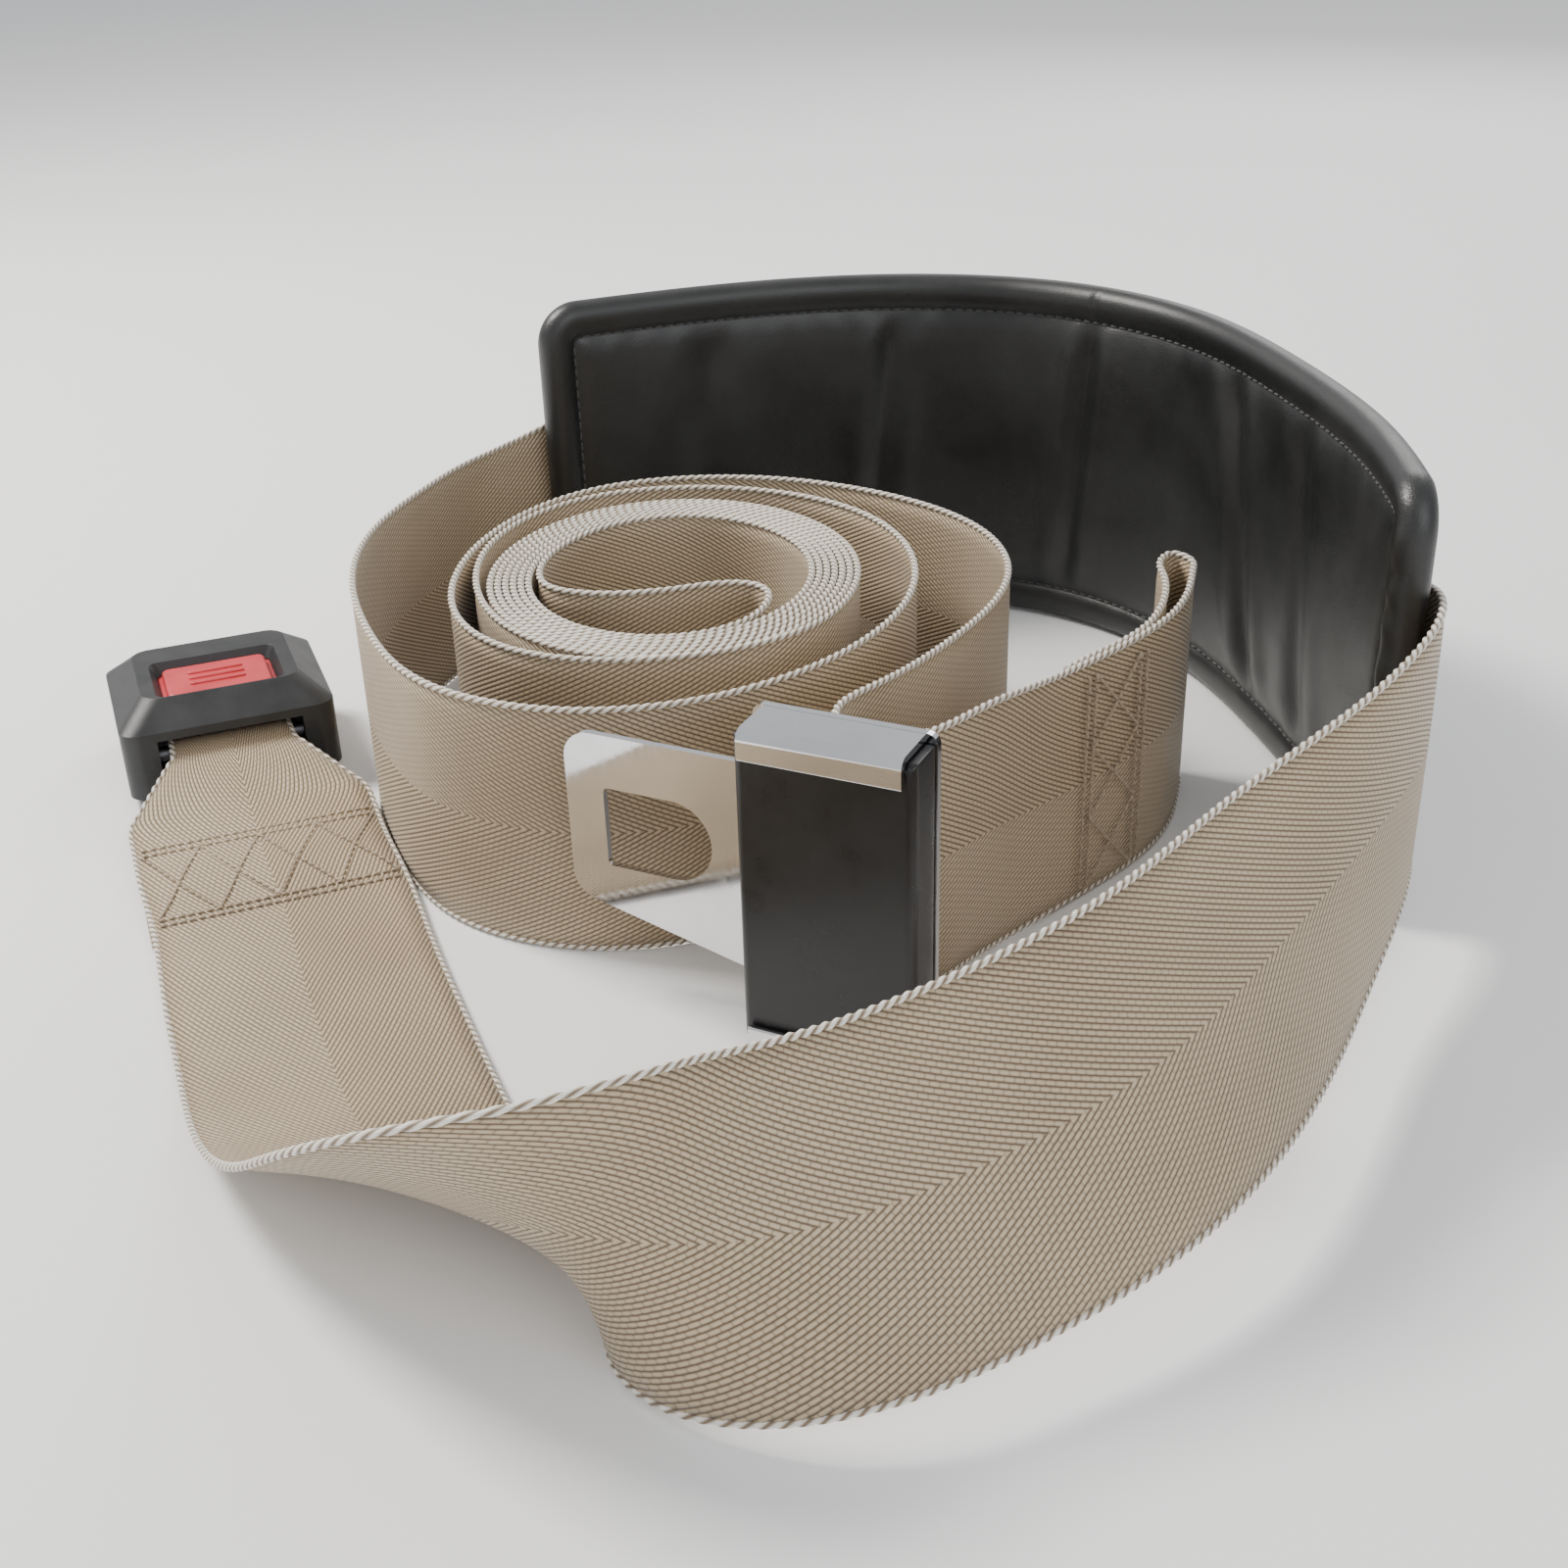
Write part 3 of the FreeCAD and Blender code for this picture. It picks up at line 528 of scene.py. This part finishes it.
def webbing_material():
    """Herringbone twill: ribs that lean both ways from the middle of the width."""
    n = Nodes("webbing_twill")
    u, v = n.uv()
    lean_cos = math.cos(TWILL_LEAN)
    lean_sin = math.sin(TWILL_LEAN)
    from_middle = n.math("ABSOLUTE", v)
    across_rib = n.math("ADD", n.math("MULTIPLY", u, lean_cos), n.math("MULTIPLY", from_middle, lean_sin))
    along_rib = n.math("SUBTRACT", n.math("MULTIPLY", from_middle, lean_cos), n.math("MULTIPLY", u, lean_sin))
    rib_count = n.math("DIVIDE", across_rib, TWILL_RIB)
    rib = n.math("FRACT", rib_count)
    rib_wave = n.math("SINE", n.math("MULTIPLY", rib, math.pi))
    shift = n.math("MULTIPLY", n.math("FLOOR", rib_count), 0.5)
    stitch = n.math("FRACT", n.math("ADD", n.math("DIVIDE", along_rib, TWILL_STITCH), shift))
    stitch_wave = n.math("POWER", n.math("SINE", n.math("MULTIPLY", stitch, math.pi)), 0.2)
    height = n.math("MULTIPLY", rib_wave, stitch_wave)
    fuzz = n.noise(4200.0, 2.0, 0.6)
    relief = n.math("ADD", height, n.math("MULTIPLY", fuzz, 0.18))
    patch = n.noise(14.0, 3.0, 0.55)
    # Rib tops take the yarn's colour; the grooves between the ribs are coloured far darker: painted shade.
    painted_groove_shade = n.mix(n.spread(patch, 0.3, 0.7), (0.10, 0.064, 0.034), (0.14, 0.092, 0.050))
    light = n.mix(n.spread(patch, 0.3, 0.7), (0.46, 0.355, 0.225), (0.57, 0.455, 0.30))
    colour = n.mix(n.spread(height, 0.12, 0.85), painted_groove_shade, light)
    roughness = n.spread(height, 0.0, 1.0, 0.62, 0.40)
    normal = n.bump(relief, 0.00035, 0.75)
    return n.finish(colour, roughness, normal, Sheen_Weight=0.2, Sheen_Roughness=0.4)


def selvedge_material():
    n = Nodes("webbing_selvedge")
    u, v = n.uv()
    turns = n.math("SUBTRACT", v, n.math("DIVIDE", u, CORD_PERIOD * MM))
    strand = n.math("COSINE", n.math("MULTIPLY", turns, 4 * math.pi))
    fibre_turns = n.math("ADD", v, n.math("DIVIDE", u, 0.0016))
    fibres = n.math("SINE", n.math("MULTIPLY", fibre_turns, 12 * math.pi))
    relief = n.math("ADD", strand, n.math("MULTIPLY", fibres, 0.25))
    # Cream on the strands' crowns, dark brown in the grooves between them: painted shade.
    colour = n.mix(n.spread(strand, -0.9, 0.5), (0.19, 0.135, 0.08), (0.82, 0.77, 0.68))
    normal = n.bump(relief, 0.00012, 0.5)
    return n.finish(colour, n.spread(strand, -1, 1, 0.6, 0.42), normal, Sheen_Weight=0.2)


def leather_material():
    n = Nodes("pad_leather")
    pebbles = n.spread(n.cells(1150.0), 0.0, 0.22)
    fine = n.noise(2600.0, 3.0, 0.6)
    creases = n.noise(70.0, 5.0, 0.6)
    relief = n.math("ADD", n.math("MULTIPLY", pebbles, 0.6), n.math("MULTIPLY", fine, 0.5))
    under = n.bump(creases, 0.0006, 0.22)
    normal = n.bump(relief, 0.00012, 0.42, under)
    worn = n.noise(26.0, 4.0, 0.55)
    colour = n.mix(n.spread(worn, 0.35, 0.7), (0.010, 0.0105, 0.0105), (0.020, 0.021, 0.020))
    # The cracks between the pebbles are darkened: painted shade in the grain.
    colour = n.mix(n.spread(pebbles, 0.0, 0.6, 0.35, 0.0), colour, (0.004, 0.004, 0.004))
    roughness = n.spread(worn, 0.3, 0.7, 0.34, 0.46)
    return n.finish(colour, roughness, normal, Specular_IOR_Level=0.55, Coat_Weight=0.08, Coat_Roughness=0.35)


def thread_material(name, colour_low, colour_high):
    n = Nodes(name)
    twist = n.noise(3800.0, 2.0, 0.7)
    colour = n.mix(n.spread(twist, 0.35, 0.65), colour_low, colour_high)
    return n.finish(colour, 0.5, n.bump(twist, 0.0001, 0.6), Sheen_Weight=0.3)


def plastic_material(name, low, high, roughness, grain, depth, wear=(0.03, 0.03, 0.03)):
    n = Nodes(name)
    fine = n.noise(grain, 3.0, 0.65)
    patch = n.noise(90.0, 4.0, 0.6)
    colour = n.mix(n.spread(patch, 0.3, 0.7), low, high)
    scuffs = n.noise(240.0, 6.0, 0.75, (1.0, 0.25, 1.0))
    colour = n.mix(n.spread(scuffs, 0.64, 0.76, 0.0, 0.25), colour, wear)
    rough = n.spread(patch, 0.3, 0.7, roughness - 0.05, roughness + 0.06)
    return n.finish(colour, rough, n.bump(fine, depth, 0.5), Specular_IOR_Level=0.5)


def steel_material(name, tint, low, high):
    n = Nodes(name)
    brushed = n.noise(900.0, 4.0, 0.6, (1.0, 1.0, 0.06))
    smudge = n.noise(45.0, 4.0, 0.6)
    rough = n.math("ADD", n.spread(brushed, 0.3, 0.7, low, high), n.spread(smudge, 0.45, 0.75, 0.0, 0.05))
    colour = n.mix(n.spread(smudge, 0.3, 0.8), tint, tuple(c * 0.86 for c in tint))
    return n.finish(colour, rough, n.bump(brushed, 0.00002, 0.18), Metallic=1.0)


def floor_material():
    n = Nodes("floor_pale")
    tone = n.noise(3.0, 2.0, 0.5)
    colour = n.mix(tone, (0.90, 0.90, 0.895), (0.93, 0.93, 0.925))
    return n.finish(colour, 0.75)


WEBBING = webbing_material()
SELVEDGE = selvedge_material()
LEATHER = leather_material()
TAN_THREAD = thread_material("thread_tan", (0.26, 0.19, 0.12), (0.46, 0.37, 0.26))
BLACK_THREAD = thread_material("thread_black", (0.018, 0.018, 0.018), (0.05, 0.05, 0.05))
HOUSING = plastic_material(
    "housing_plastic", (0.016, 0.017, 0.018), (0.030, 0.031, 0.033),
    roughness=0.46, grain=1700.0, depth=0.00012,
)
COVER = plastic_material(
    "cover_plastic", (0.008, 0.008, 0.009), (0.013, 0.013, 0.014),
    roughness=0.30, grain=2600.0, depth=0.00003,
)
BUTTON = plastic_material(
    "button_red", (0.50, 0.035, 0.045), (0.60, 0.05, 0.06), roughness=0.36, grain=2200.0, depth=0.00004,
    wear=(0.62, 0.09, 0.09),
)
EJECTOR = plastic_material(
    "ejector_plastic", (0.02, 0.02, 0.02), (0.03, 0.03, 0.03), roughness=0.4, grain=2200.0, depth=0.00004,
)
CHROME = steel_material("chrome_steel", (0.80, 0.80, 0.81), 0.03, 0.09)
ZINC = steel_material("zinc_steel", (0.60, 0.61, 0.62), 0.24, 0.38)
# Steel tint made dark so the frame and anchor bar show no glints: painted shade.
SHADE_PAINTED_STEEL = steel_material("shade_painted_steel", (0.10, 0.10, 0.11), 0.35, 0.5)


# ---- webbing ---------------------------------------------------------------------------
def fold_layer(strap):
    """Lower layer of the doubled end: under the strap, round the buckle's bar."""
    bar_y, bar_z, radius = -22.5, 15.0, 4.15
    line = [(-118.0, 0.95), (-104.0, 1.6), (-88.0, 2.9), (-72.0, 3.9), (-58.0, 6.5), (-46.0, 10.3)]
    line += [(-36.0, 12.4), (-30.0, 12.1)]
    for degrees in range(-120, 91, 30):
        angle = math.radians(degrees)
        line.append((bar_y + radius * math.cos(angle), bar_z + radius * math.sin(angle)))
    rows = [(y, z, 0.0, 0.0) for y, z in line]
    places, even = resampled(rows, 1.5)
    profile = even[:, :2]
    along = unit(np.gradient(profile, axis=0))
    normal = np.stack([-along[:, 1], along[:, 0]], axis=1)
    half = np.interp(profile[:, 0], [-61.0, -32.0, 0.0], [STRAP_MID - 0.6, 19.6, 19.4])
    share = np.linspace(-1, 1, 9)
    shares = np.concatenate([share, share[::-1]])
    lifts = np.concatenate([np.full(9, 0.62), np.full(9, -0.62)])
    rings = []
    for k in range(len(places)):
        ring = []
        for a, lift in zip(shares, lifts):
            y, z = profile[k] + normal[k] * lift
            x, y = local_place((a * half[k], y), BUCKLE_PLACE, BUCKLE_TURN)
            ring.append((x, y, z))
        rings.append(ring)
    round_uv = np.concatenate([shares, shares[:1]]) * STRAP_MID * MM
    return swept("webbing_fold_layer", rings, places * MM, round_uv, WEBBING)


def stitched_line(strap, ends, pitch, side, lift):
    """Stitches on the strap's face along a straight line of (place, across) ends."""
    (place_a, across_a), (place_b, across_b) = ends
    length = math.hypot(place_b - place_a, across_b - across_a)
    count = max(2, int(length / pitch))
    found = []
    for k in range(count):
        spans = []
        for share in ((k + 0.09) / count, (k + 0.91) / count):
            place = place_a + (place_b - place_a) * share
            across = across_a + (across_b - across_a) * share
            spans.append(strap.at(place, across, lift * side))
        middle = place_a + (place_b - place_a) * (k + 0.5) / count
        i = int(np.clip(np.searchsorted(strap.places, middle), 1, len(strap.places) - 1))
        found.append((spans[0], spans[1], strap.normal[i] * side))
    return found


def stitched_box(strap, start, end, half, side, lift, peaks):
    """Double rows at both ends, joined by crossing zigzags."""
    stitches = []
    for row in (start, start + 3.2, end - 3.2, end):
        stitches += stitched_line(strap, ((row, -half), (row, half)), 2.6, side, lift)
    step = 2 * half / peaks
    for k in range(peaks):
        left = -half + k * step
        first, last = (start + 3.2, end - 3.2) if k % 2 == 0 else (end - 3.2, start + 3.2)
        stitches += stitched_line(strap, ((first, left), (last, left + step)), 2.8, side, lift)
        stitches += stitched_line(strap, ((last, left), (first, left + step)), 2.8, side, lift)
    return stitches


def make_webbing():
    strap = Strap(strap_rows(), 2.5)
    edges = Strap(strap_rows(), 0.6)
    total = float(strap.places[-1])
    body = ribbon("webbing_strap", strap, WEBBING)
    upper = selvedge("webbing_edge_upper", edges, 1, SELVEDGE)
    lower = selvedge("webbing_edge_lower", edges, -1, SELVEDGE)
    layer = fold_layer(strap)
    on_top = STRAP_THICKNESS / 2 + 0.12
    stitches = stitched_box(strap, 50.0, 91.0, 35.0, 1, on_top, 4)
    tail_end = strap.nearest(127.2, -0.8, total - 200, total - 60)
    tail_start = tail_end - 27.0
    tab_stitches = stitched_box(strap, tail_start, tail_end, 33.5, 1, on_top, 3)
    tab_stitches += stitched_box(strap, tail_start, tail_end, 33.5, -1, on_top + STRAP_THICKNESS, 3)
    buckle_thread = threads("webbing_stitching_buckle_end", stitches, STITCH_RADIUS, TAN_THREAD)
    tab_thread = threads("webbing_stitching_tab", tab_stitches, STITCH_RADIUS, TAN_THREAD)
    for piece in (body, upper, lower, layer, buckle_thread, tab_thread):
        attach(piece, "belt")
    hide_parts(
        "strap_flat_span", "strap_diagonal_fold", "strap_front_span", "strap_left_loop",
        "coil_outer_turn_a", "coil_outer_turn_b", "strap_tail", "strap_pull_tab", "coil_core",
        "coil_inner_fold", "strap_pad_span", "strap_bar_wrap",
    )
    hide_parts("strap_buckle_end")
    print("strap length", round(total), "mm")


# ---- back pad --------------------------------------------------------------------------
PAD_CORNER = 15.0
PAD_SEAM = 12.0
PAD_LINES = [0.0, 0.35, 1.2, 2.6, 4.4, 6.4, 8.4, 10.0, 11.2, 12.0, 12.8, 14.2, 16.4, 19.0, 22.5]
PAD_CREASES = [
    (316.0, 3.8, 2.3, 6.0),
    (237.0, 3.4, 2.9, 5.0),
    (140.0, 5.0, 3.2, -18.0),
    (92.0, 6.0, 1.9, -10.0),
    (385.0, 7.0, 1.4, 8.0),
]


def edge_lines(length, step):
    """Grid lines over a length, close together near both ends."""
    inner = np.linspace(PAD_LINES[-1], length - PAD_LINES[-1], int((length - 2 * PAD_LINES[-1]) / step))
    return np.concatenate([PAD_LINES[:-1], inner, [length - d for d in PAD_LINES[:-1]][::-1]])


def round_corners(s, z, length, height, corner):
    """Grid points moved onto quarter circles at the corners, and the distance to the edge."""
    near_s = np.minimum(s, length - s)
    near_z = np.minimum(z, height - z)
    p = np.clip(corner - near_s, 0, None)
    q = np.clip(corner - near_z, 0, None)
    reach = np.maximum(p, q)
    size = np.sqrt(p**2 + q**2)
    both = (p > 0) & (q > 0)
    scale = np.where(both, reach / np.maximum(size, 1e-9), 1.0)
    new_s = np.where(s < length / 2, corner - p * scale, length - corner + p * scale)
    new_z = np.where(z < height / 2, corner - q * scale, height - corner + q * scale)
    s = np.where(both, new_s, s)
    z = np.where(both, new_z, z)
    return s, z, np.minimum(near_s, near_z)


def pad_relief(s, z, edge, length):
    """How far the front stands out from the pad's middle surface."""
    roll = np.sqrt(np.clip(1 - (1 - np.clip(edge / 5.6, 0, 1)) ** 2, 0, 1)) * 5.6
    sink_edges = [5.6, 9.0, 11.2, 12.0, 12.8, 16.0, 22.0, 40.0]
    sink = np.interp(edge, sink_edges, [0, 0.5, 1.7, 2.5, 2.1, 1.1, 0.6, 0.0])
    relief = roll - sink
    inside = np.clip((edge - PAD_SEAM) / 12.0, 0, 1)
    for place, width, depth, slant in PAD_CREASES:
        line = place + slant * (PAD_MID - z) / PAD_MID
        offset = s - line
        bulge = 0.55 * np.exp(-((abs(offset) - 2.3 * width) / (1.3 * width)) ** 2)
        dip = np.exp(-(offset / width) ** 2) - bulge
        fade = 0.6 + 0.4 * (abs(z - PAD_MID) / PAD_MID) ** 1.5
        relief = relief - dip * depth * inside * fade
    puckers = np.sin(s / 4.1 * 2) * np.exp(-((edge - 14.0) / 3.0) ** 2) * 0.16
    ripple = 0.22 * np.sin(s / 19.0 + z / 31.0) * np.sin(z / 17.0 + 0.7) * inside
    gather_wave = np.sin(z / 1.9 + 0.6 * np.sin(z / 5.0))
    gather = np.exp(-(s / 9.0) ** 2) * gather_wave * 0.45 * np.clip(edge / 2.0, 0, 1)
    joint = -1.1 * np.exp(-((s - 232.0) / 0.9) ** 2) * np.exp(-((edge - 5.0) / 4.5) ** 4) * (z > PAD_MID)
    return relief + puckers + ripple + gather + joint


def pad_point(places, plan, outward, s, z, offset):
    """Points from distance along the pad, height and distance outward, all in one array."""
    x = np.interp(s, places, plan[:, 0]) + np.interp(s, places, outward[:, 0]) * offset
    y = np.interp(s, places, plan[:, 1]) + np.interp(s, places, outward[:, 1]) * offset
    return np.stack([x, y, z], axis=-1)


def make_pad():
    places, plan, outward = pad_line(0.5)
    length = float(places[-1])
    s_lines = edge_lines(length, 1.6)
    z_lines = edge_lines(PAD_HEIGHT, 2.2)
    s_grid, z_grid = np.meshgrid(s_lines, z_lines, indexing="ij")
    s, z, edge = round_corners(s_grid, z_grid, length, PAD_HEIGHT, PAD_CORNER)
    front = -pad_relief(s, z, edge, length)
    back_roll = np.sqrt(np.clip(1 - (1 - np.clip(edge / 5.0, 0, 1)) ** 2, 0, 1)) * 5.2
    back = back_roll - 0.5 * np.exp(-((edge - PAD_SEAM) / 1.2) ** 2)
    rows, columns = s.shape
    front_points = pad_point(places, plan, outward, s, z, front).reshape(-1, 3)
    back_points = pad_point(places, plan, outward, s, z, back).reshape(-1, 3)
    border = edge.reshape(-1) <= 1e-6
    index = np.arange(rows * columns)
    back_index = np.where(border, index, 0)
    extra = np.flatnonzero(~border)
    back_index[extra] = rows * columns + np.arange(len(extra))
    verts = np.concatenate([front_points, back_points[extra]])
    i, j = np.meshgrid(np.arange(rows - 1), np.arange(columns - 1), indexing="ij")
    a = (i * columns + j).ravel()
    quads = np.stack([a, a + 1, a + columns + 1, a + columns], axis=1)
    faces = np.concatenate([quads[:, ::-1], back_index[quads]])
    pad = new_object("pad_cushion", verts, faces.tolist(), LEATHER)
    pad.data.validate()
    fix_normals(pad)
    stitches = []
    for place_a, place_b, height_a, height_b in pad_seam_runs(length):
        for (s0, z0), (s1, z1) in dashes(place_a, height_a, place_b, height_b, 3.9):
            ends = []
            for s_end, z_end in ((s0, z0), (s1, z1)):
                s_here = np.array([s_end])
                z_here = np.array([z_end])
                lift = -pad_relief(s_here, z_here, np.array([PAD_SEAM]), length) - 0.12
                ends.append(pad_point(places, plan, outward, s_here, z_here, lift)[0])
            k = int(np.argmin(abs(places - s0)))
            out = -np.array([outward[k][0], outward[k][1], 0.0])
            stitches.append((ends[0], ends[1], out))
    seam = threads("pad_seam_stitching", stitches, SEAM_STITCH_RADIUS, BLACK_THREAD)
    sleeve = make_sleeve(places, plan, outward, length)
    for piece in (pad, seam, sleeve):
        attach(piece, "belt")
    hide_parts("pad_front_cover", "pad_foam_core", "pad_back_cover")
    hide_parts("pad_back_sleeve")


def pad_seam_runs(length):
    """Straight runs of the seam, as (s, s, z, z)."""
    inner = PAD_CORNER - PAD_SEAM
    low, high = PAD_SEAM, PAD_HEIGHT - PAD_SEAM
    left, right = PAD_SEAM, length - PAD_SEAM
    runs = []
    for z in (low, high):
        runs.append((left + inner, right - inner, z, z))
    for s in (left, right):
        runs.append((s, s, low + inner, high - inner))
    return runs


def dashes(s0, z0, s1, z1, pitch):
    length = math.hypot(s1 - s0, z1 - z0)
    count = max(1, round(length / pitch))
    for k in range(count):
        a = (k + 0.12) / count
        b = (k + 0.88) / count
        yield (s0 + (s1 - s0) * a, z0 + (z1 - z0) * a), (s0 + (s1 - s0) * b, z0 + (z1 - z0) * b)


def make_sleeve(places, plan, outward, length):
    """Cover sewn over the strap on the pad's back, open at both ends."""
    s_lines = np.linspace(PAD_STRAP_START + 7, length - PAD_STRAP_START, 150)
    z_low = PAD_MID - SLEEVE_HEIGHT / 2
    z_high = PAD_MID + SLEEVE_HEIGHT / 2
    z_lines = np.concatenate([
        np.linspace(z_low, z_low + 12, 9)[:-1],
        np.linspace(z_low + 12, z_high - 12, 24),
        np.linspace(z_high - 12, z_high, 9)[1:],
    ])
    s, z = np.meshgrid(s_lines, z_lines, indexing="ij")
    edge = np.minimum(z - z_low, z_high - z)
    rise = np.clip(edge / 8.0, 0, 1)
    inner = 6.1 + 2.1 * rise * rise * (3 - 2 * rise)
    puff = 0.16 * np.sin(s / 13.0) * np.sin(z / 23.0) * rise
    seam = 0.5 * np.exp(-((edge - 4.0) / 0.9) ** 2)
    outer = inner + 1.15 - seam + puff
    rows, columns = s.shape
    shell = np.concatenate([
        pad_point(places, plan, outward, s, z, inner).reshape(-1, 3),
        pad_point(places, plan, outward, s, z, outer).reshape(-1, 3),
    ])
    i, j = np.meshgrid(np.arange(rows - 1), np.arange(columns - 1), indexing="ij")
    a = (i * columns + j).ravel()
    quads = np.stack([a, a + 1, a + columns + 1, a + columns], axis=1)
    faces = quads.tolist() + (quads[:, ::-1] + rows * columns).tolist()
    rim = [(r, 0) for r in range(rows)] + [(rows - 1, c) for c in range(1, columns)]
    rim += [(r, columns - 1) for r in range(rows - 2, -1, -1)] + [(0, c) for c in range(columns - 2, 0, -1)]
    rim = [r * columns + c for r, c in rim]
    for k, first in enumerate(rim):
        second = rim[(k + 1) % len(rim)]
        faces.append([first, second, second + rows * columns, first + rows * columns])
    sleeve = new_object("pad_back_sleeve_cover", shell, faces, LEATHER)
    fix_normals(sleeve)
    return sleeve


def fix_normals(obj):
    build = bmesh.new()
    build.from_mesh(obj.data)
    bmesh.ops.recalc_face_normals(build, faces=build.faces)
    build.to_mesh(obj.data)
    build.free()


# ---- hardware --------------------------------------------------------------------------
def softened(node, name, body, material, width, segments=3, angle=28.0):
    """Copy of a CAD node with its sharp edges rounded."""
    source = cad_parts[node]
    mesh = source.data.copy()
    mesh.name = name
    build = bmesh.new()
    build.from_mesh(mesh)
    build.transform(source.matrix_world)
    bmesh.ops.remove_doubles(build, verts=build.verts, dist=2e-6)
    bmesh.ops.dissolve_limit(build, angle_limit=math.radians(2.0), verts=build.verts, edges=build.edges)
    build.to_mesh(mesh)
    build.free()
    mesh.materials.clear()
    mesh.materials.append(material)
    obj = bpy.data.objects.new(name, mesh)
    bpy.context.scene.collection.objects.link(obj)
    bevel = obj.modifiers.new("round", "BEVEL")
    bevel.width = width * MM
    bevel.segments = segments
    bevel.limit_method = "ANGLE"
    bevel.angle_limit = math.radians(angle)
    bevel.use_clamp_overlap = True
    bevel.harden_normals = False
    mesh.polygons.foreach_set("use_smooth", [True] * len(mesh.polygons))
    weighted = obj.modifiers.new("shade", "WEIGHTED_NORMAL")
    weighted.keep_sharp = True
    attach(obj, body)
    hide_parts(node)
    return obj


def paint(node, material):
    """New finish on a CAD node that keeps its shape."""
    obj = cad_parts[node]
    for place in range(max(1, len(obj.material_slots))):
        if obj.material_slots:
            obj.material_slots[place].material = material
        else:
            obj.data.materials.append(material)


def grip_marks():
    """Three raised bars on the press button."""
    half_x, half_y = 9.0, 1.0
    low, high = 32.3, 33.1
    objects = []
    for number, y in enumerate((-10.4, -6.0, -1.6)):
        points = []
        for degrees in range(0, 360, 30):
            angle = math.radians(degrees)
            side = half_x - half_y if math.cos(angle) >= 0 else -(half_x - half_y)
            points.append((side + half_y * math.cos(angle), half_y * math.sin(angle)))
        rings = []
        for scale, z in ((1.0, low), (1.0, high - 0.35), (0.82, high - 0.08), (0.5, high)):
            ring = []
            for x, dy in points:
                side = half_x - half_y if x > 0 else -(half_x - half_y)
                px, py = local_place((side + (x - side) * scale, y + dy * scale), BUCKLE_PLACE, BUCKLE_TURN)
                ring.append((px, py, z))
            rings.append(ring)
        count = len(points)
        no_uv = ([0.0] * len(rings), [0.0] * (count + 1))
        objects.append(swept(f"button_grip_mark_{number}", rings, *no_uv, BUTTON))
    for piece in objects:
        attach(piece, "press_button")


def make_hardware():
    softened("buckle_upper_housing", "buckle_housing_top", "buckle_case", HOUSING, 0.9)
    softened("buckle_lower_housing", "buckle_housing_base", "buckle_case", HOUSING, 0.5)
    softened("buckle_press_button", "buckle_button", "press_button", BUTTON, 0.7)
    softened("tongue_slide_cover", "adjuster_cover", "slide", COVER, 0.5, angle=40.0)
    softened("tongue_latch_plate", "adjuster_tongue", "latch_plate", CHROME, 0.35, angle=40.0)
    for node in ("buckle_latch", "buckle_housing_screws"):
        paint(node, ZINC)
    # Frame and anchor bar take the darkened steel that hides their glints: painted shade.
    paint("buckle_steel_frame", SHADE_PAINTED_STEEL)
    for node in ("buckle_latch_pin", "tongue_slide_bar", "buckle_latch_springs", "buckle_ejector_spring"):
        paint(node, CHROME)
    paint("buckle_anchor_bar", SHADE_PAINTED_STEEL)
    paint("buckle_ejector", EJECTOR)
    grip_marks()


# ---- surroundings ----------------------------------------------------------------------
def make_floor():
    bpy.ops.mesh.primitive_grid_add(x_subdivisions=8, y_subdivisions=8, size=60.0, location=(0, 0, -0.0006))
    floor = bpy.context.active_object
    floor.name = "floor"
    floor.data.materials.append(floor_material())


def area_light(name, place, target, size, power, colour):
    data = bpy.data.lights.new(name, "AREA")
    data.size = size
    data.energy = power
    data.color = colour
    light = bpy.data.objects.new(name, data)
    light.location = place
    aim = Vector(target) - Vector(place)
    light.rotation_euler = aim.to_track_quat("-Z", "Y").to_euler()
    bpy.context.scene.collection.objects.link(light)


def make_lights():
    centre = (0.0, 0.0, 0.05)
    area_light("key", (-0.95, 0.45, 1.25), centre, 0.45, 34.0, (1.0, 0.96, 0.90))
    area_light("fill", (0.7, -1.4, 1.1), centre, 1.4, 13.0, (0.97, 0.98, 1.0))
    area_light("rim", (0.7, 1.4, 0.9), centre, 0.9, 8.0, (1.0, 0.98, 0.95))
    world = bpy.data.worlds.new("studio")
    world.use_nodes = True
    background = world.node_tree.nodes["Background"]
    background.inputs[0].default_value = (0.95, 0.965, 1.0, 1.0)
    background.inputs[1].default_value = 0.72
    bpy.context.scene.world = world


def make_camera():
    forward = Vector((0.0, math.cos(CAMERA_PITCH), -math.sin(CAMERA_PITCH)))
    level = Vector((1.0, 0.0, 0.0))
    above = level.cross(forward)
    right = level * math.cos(CAMERA_ROLL) + above * math.sin(CAMERA_ROLL)
    up = above * math.cos(CAMERA_ROLL) - level * math.sin(CAMERA_ROLL)
    data = bpy.data.cameras.new("photo_angle")
    data.lens = CAMERA_LENS
    data.sensor_width = 36.0
    data.clip_start = 0.01
    data.clip_end = 50.0
    camera = bpy.data.objects.new("photo_angle", data)
    matrix = Matrix((right, up, -forward)).transposed().to_4x4()
    matrix.translation = Vector(CAMERA_PLACE)
    camera.matrix_world = matrix
    bpy.context.scene.collection.objects.link(camera)
    bpy.context.scene.camera = camera


make_webbing()
make_pad()
make_hardware()
make_floor()
make_lights()
make_camera()
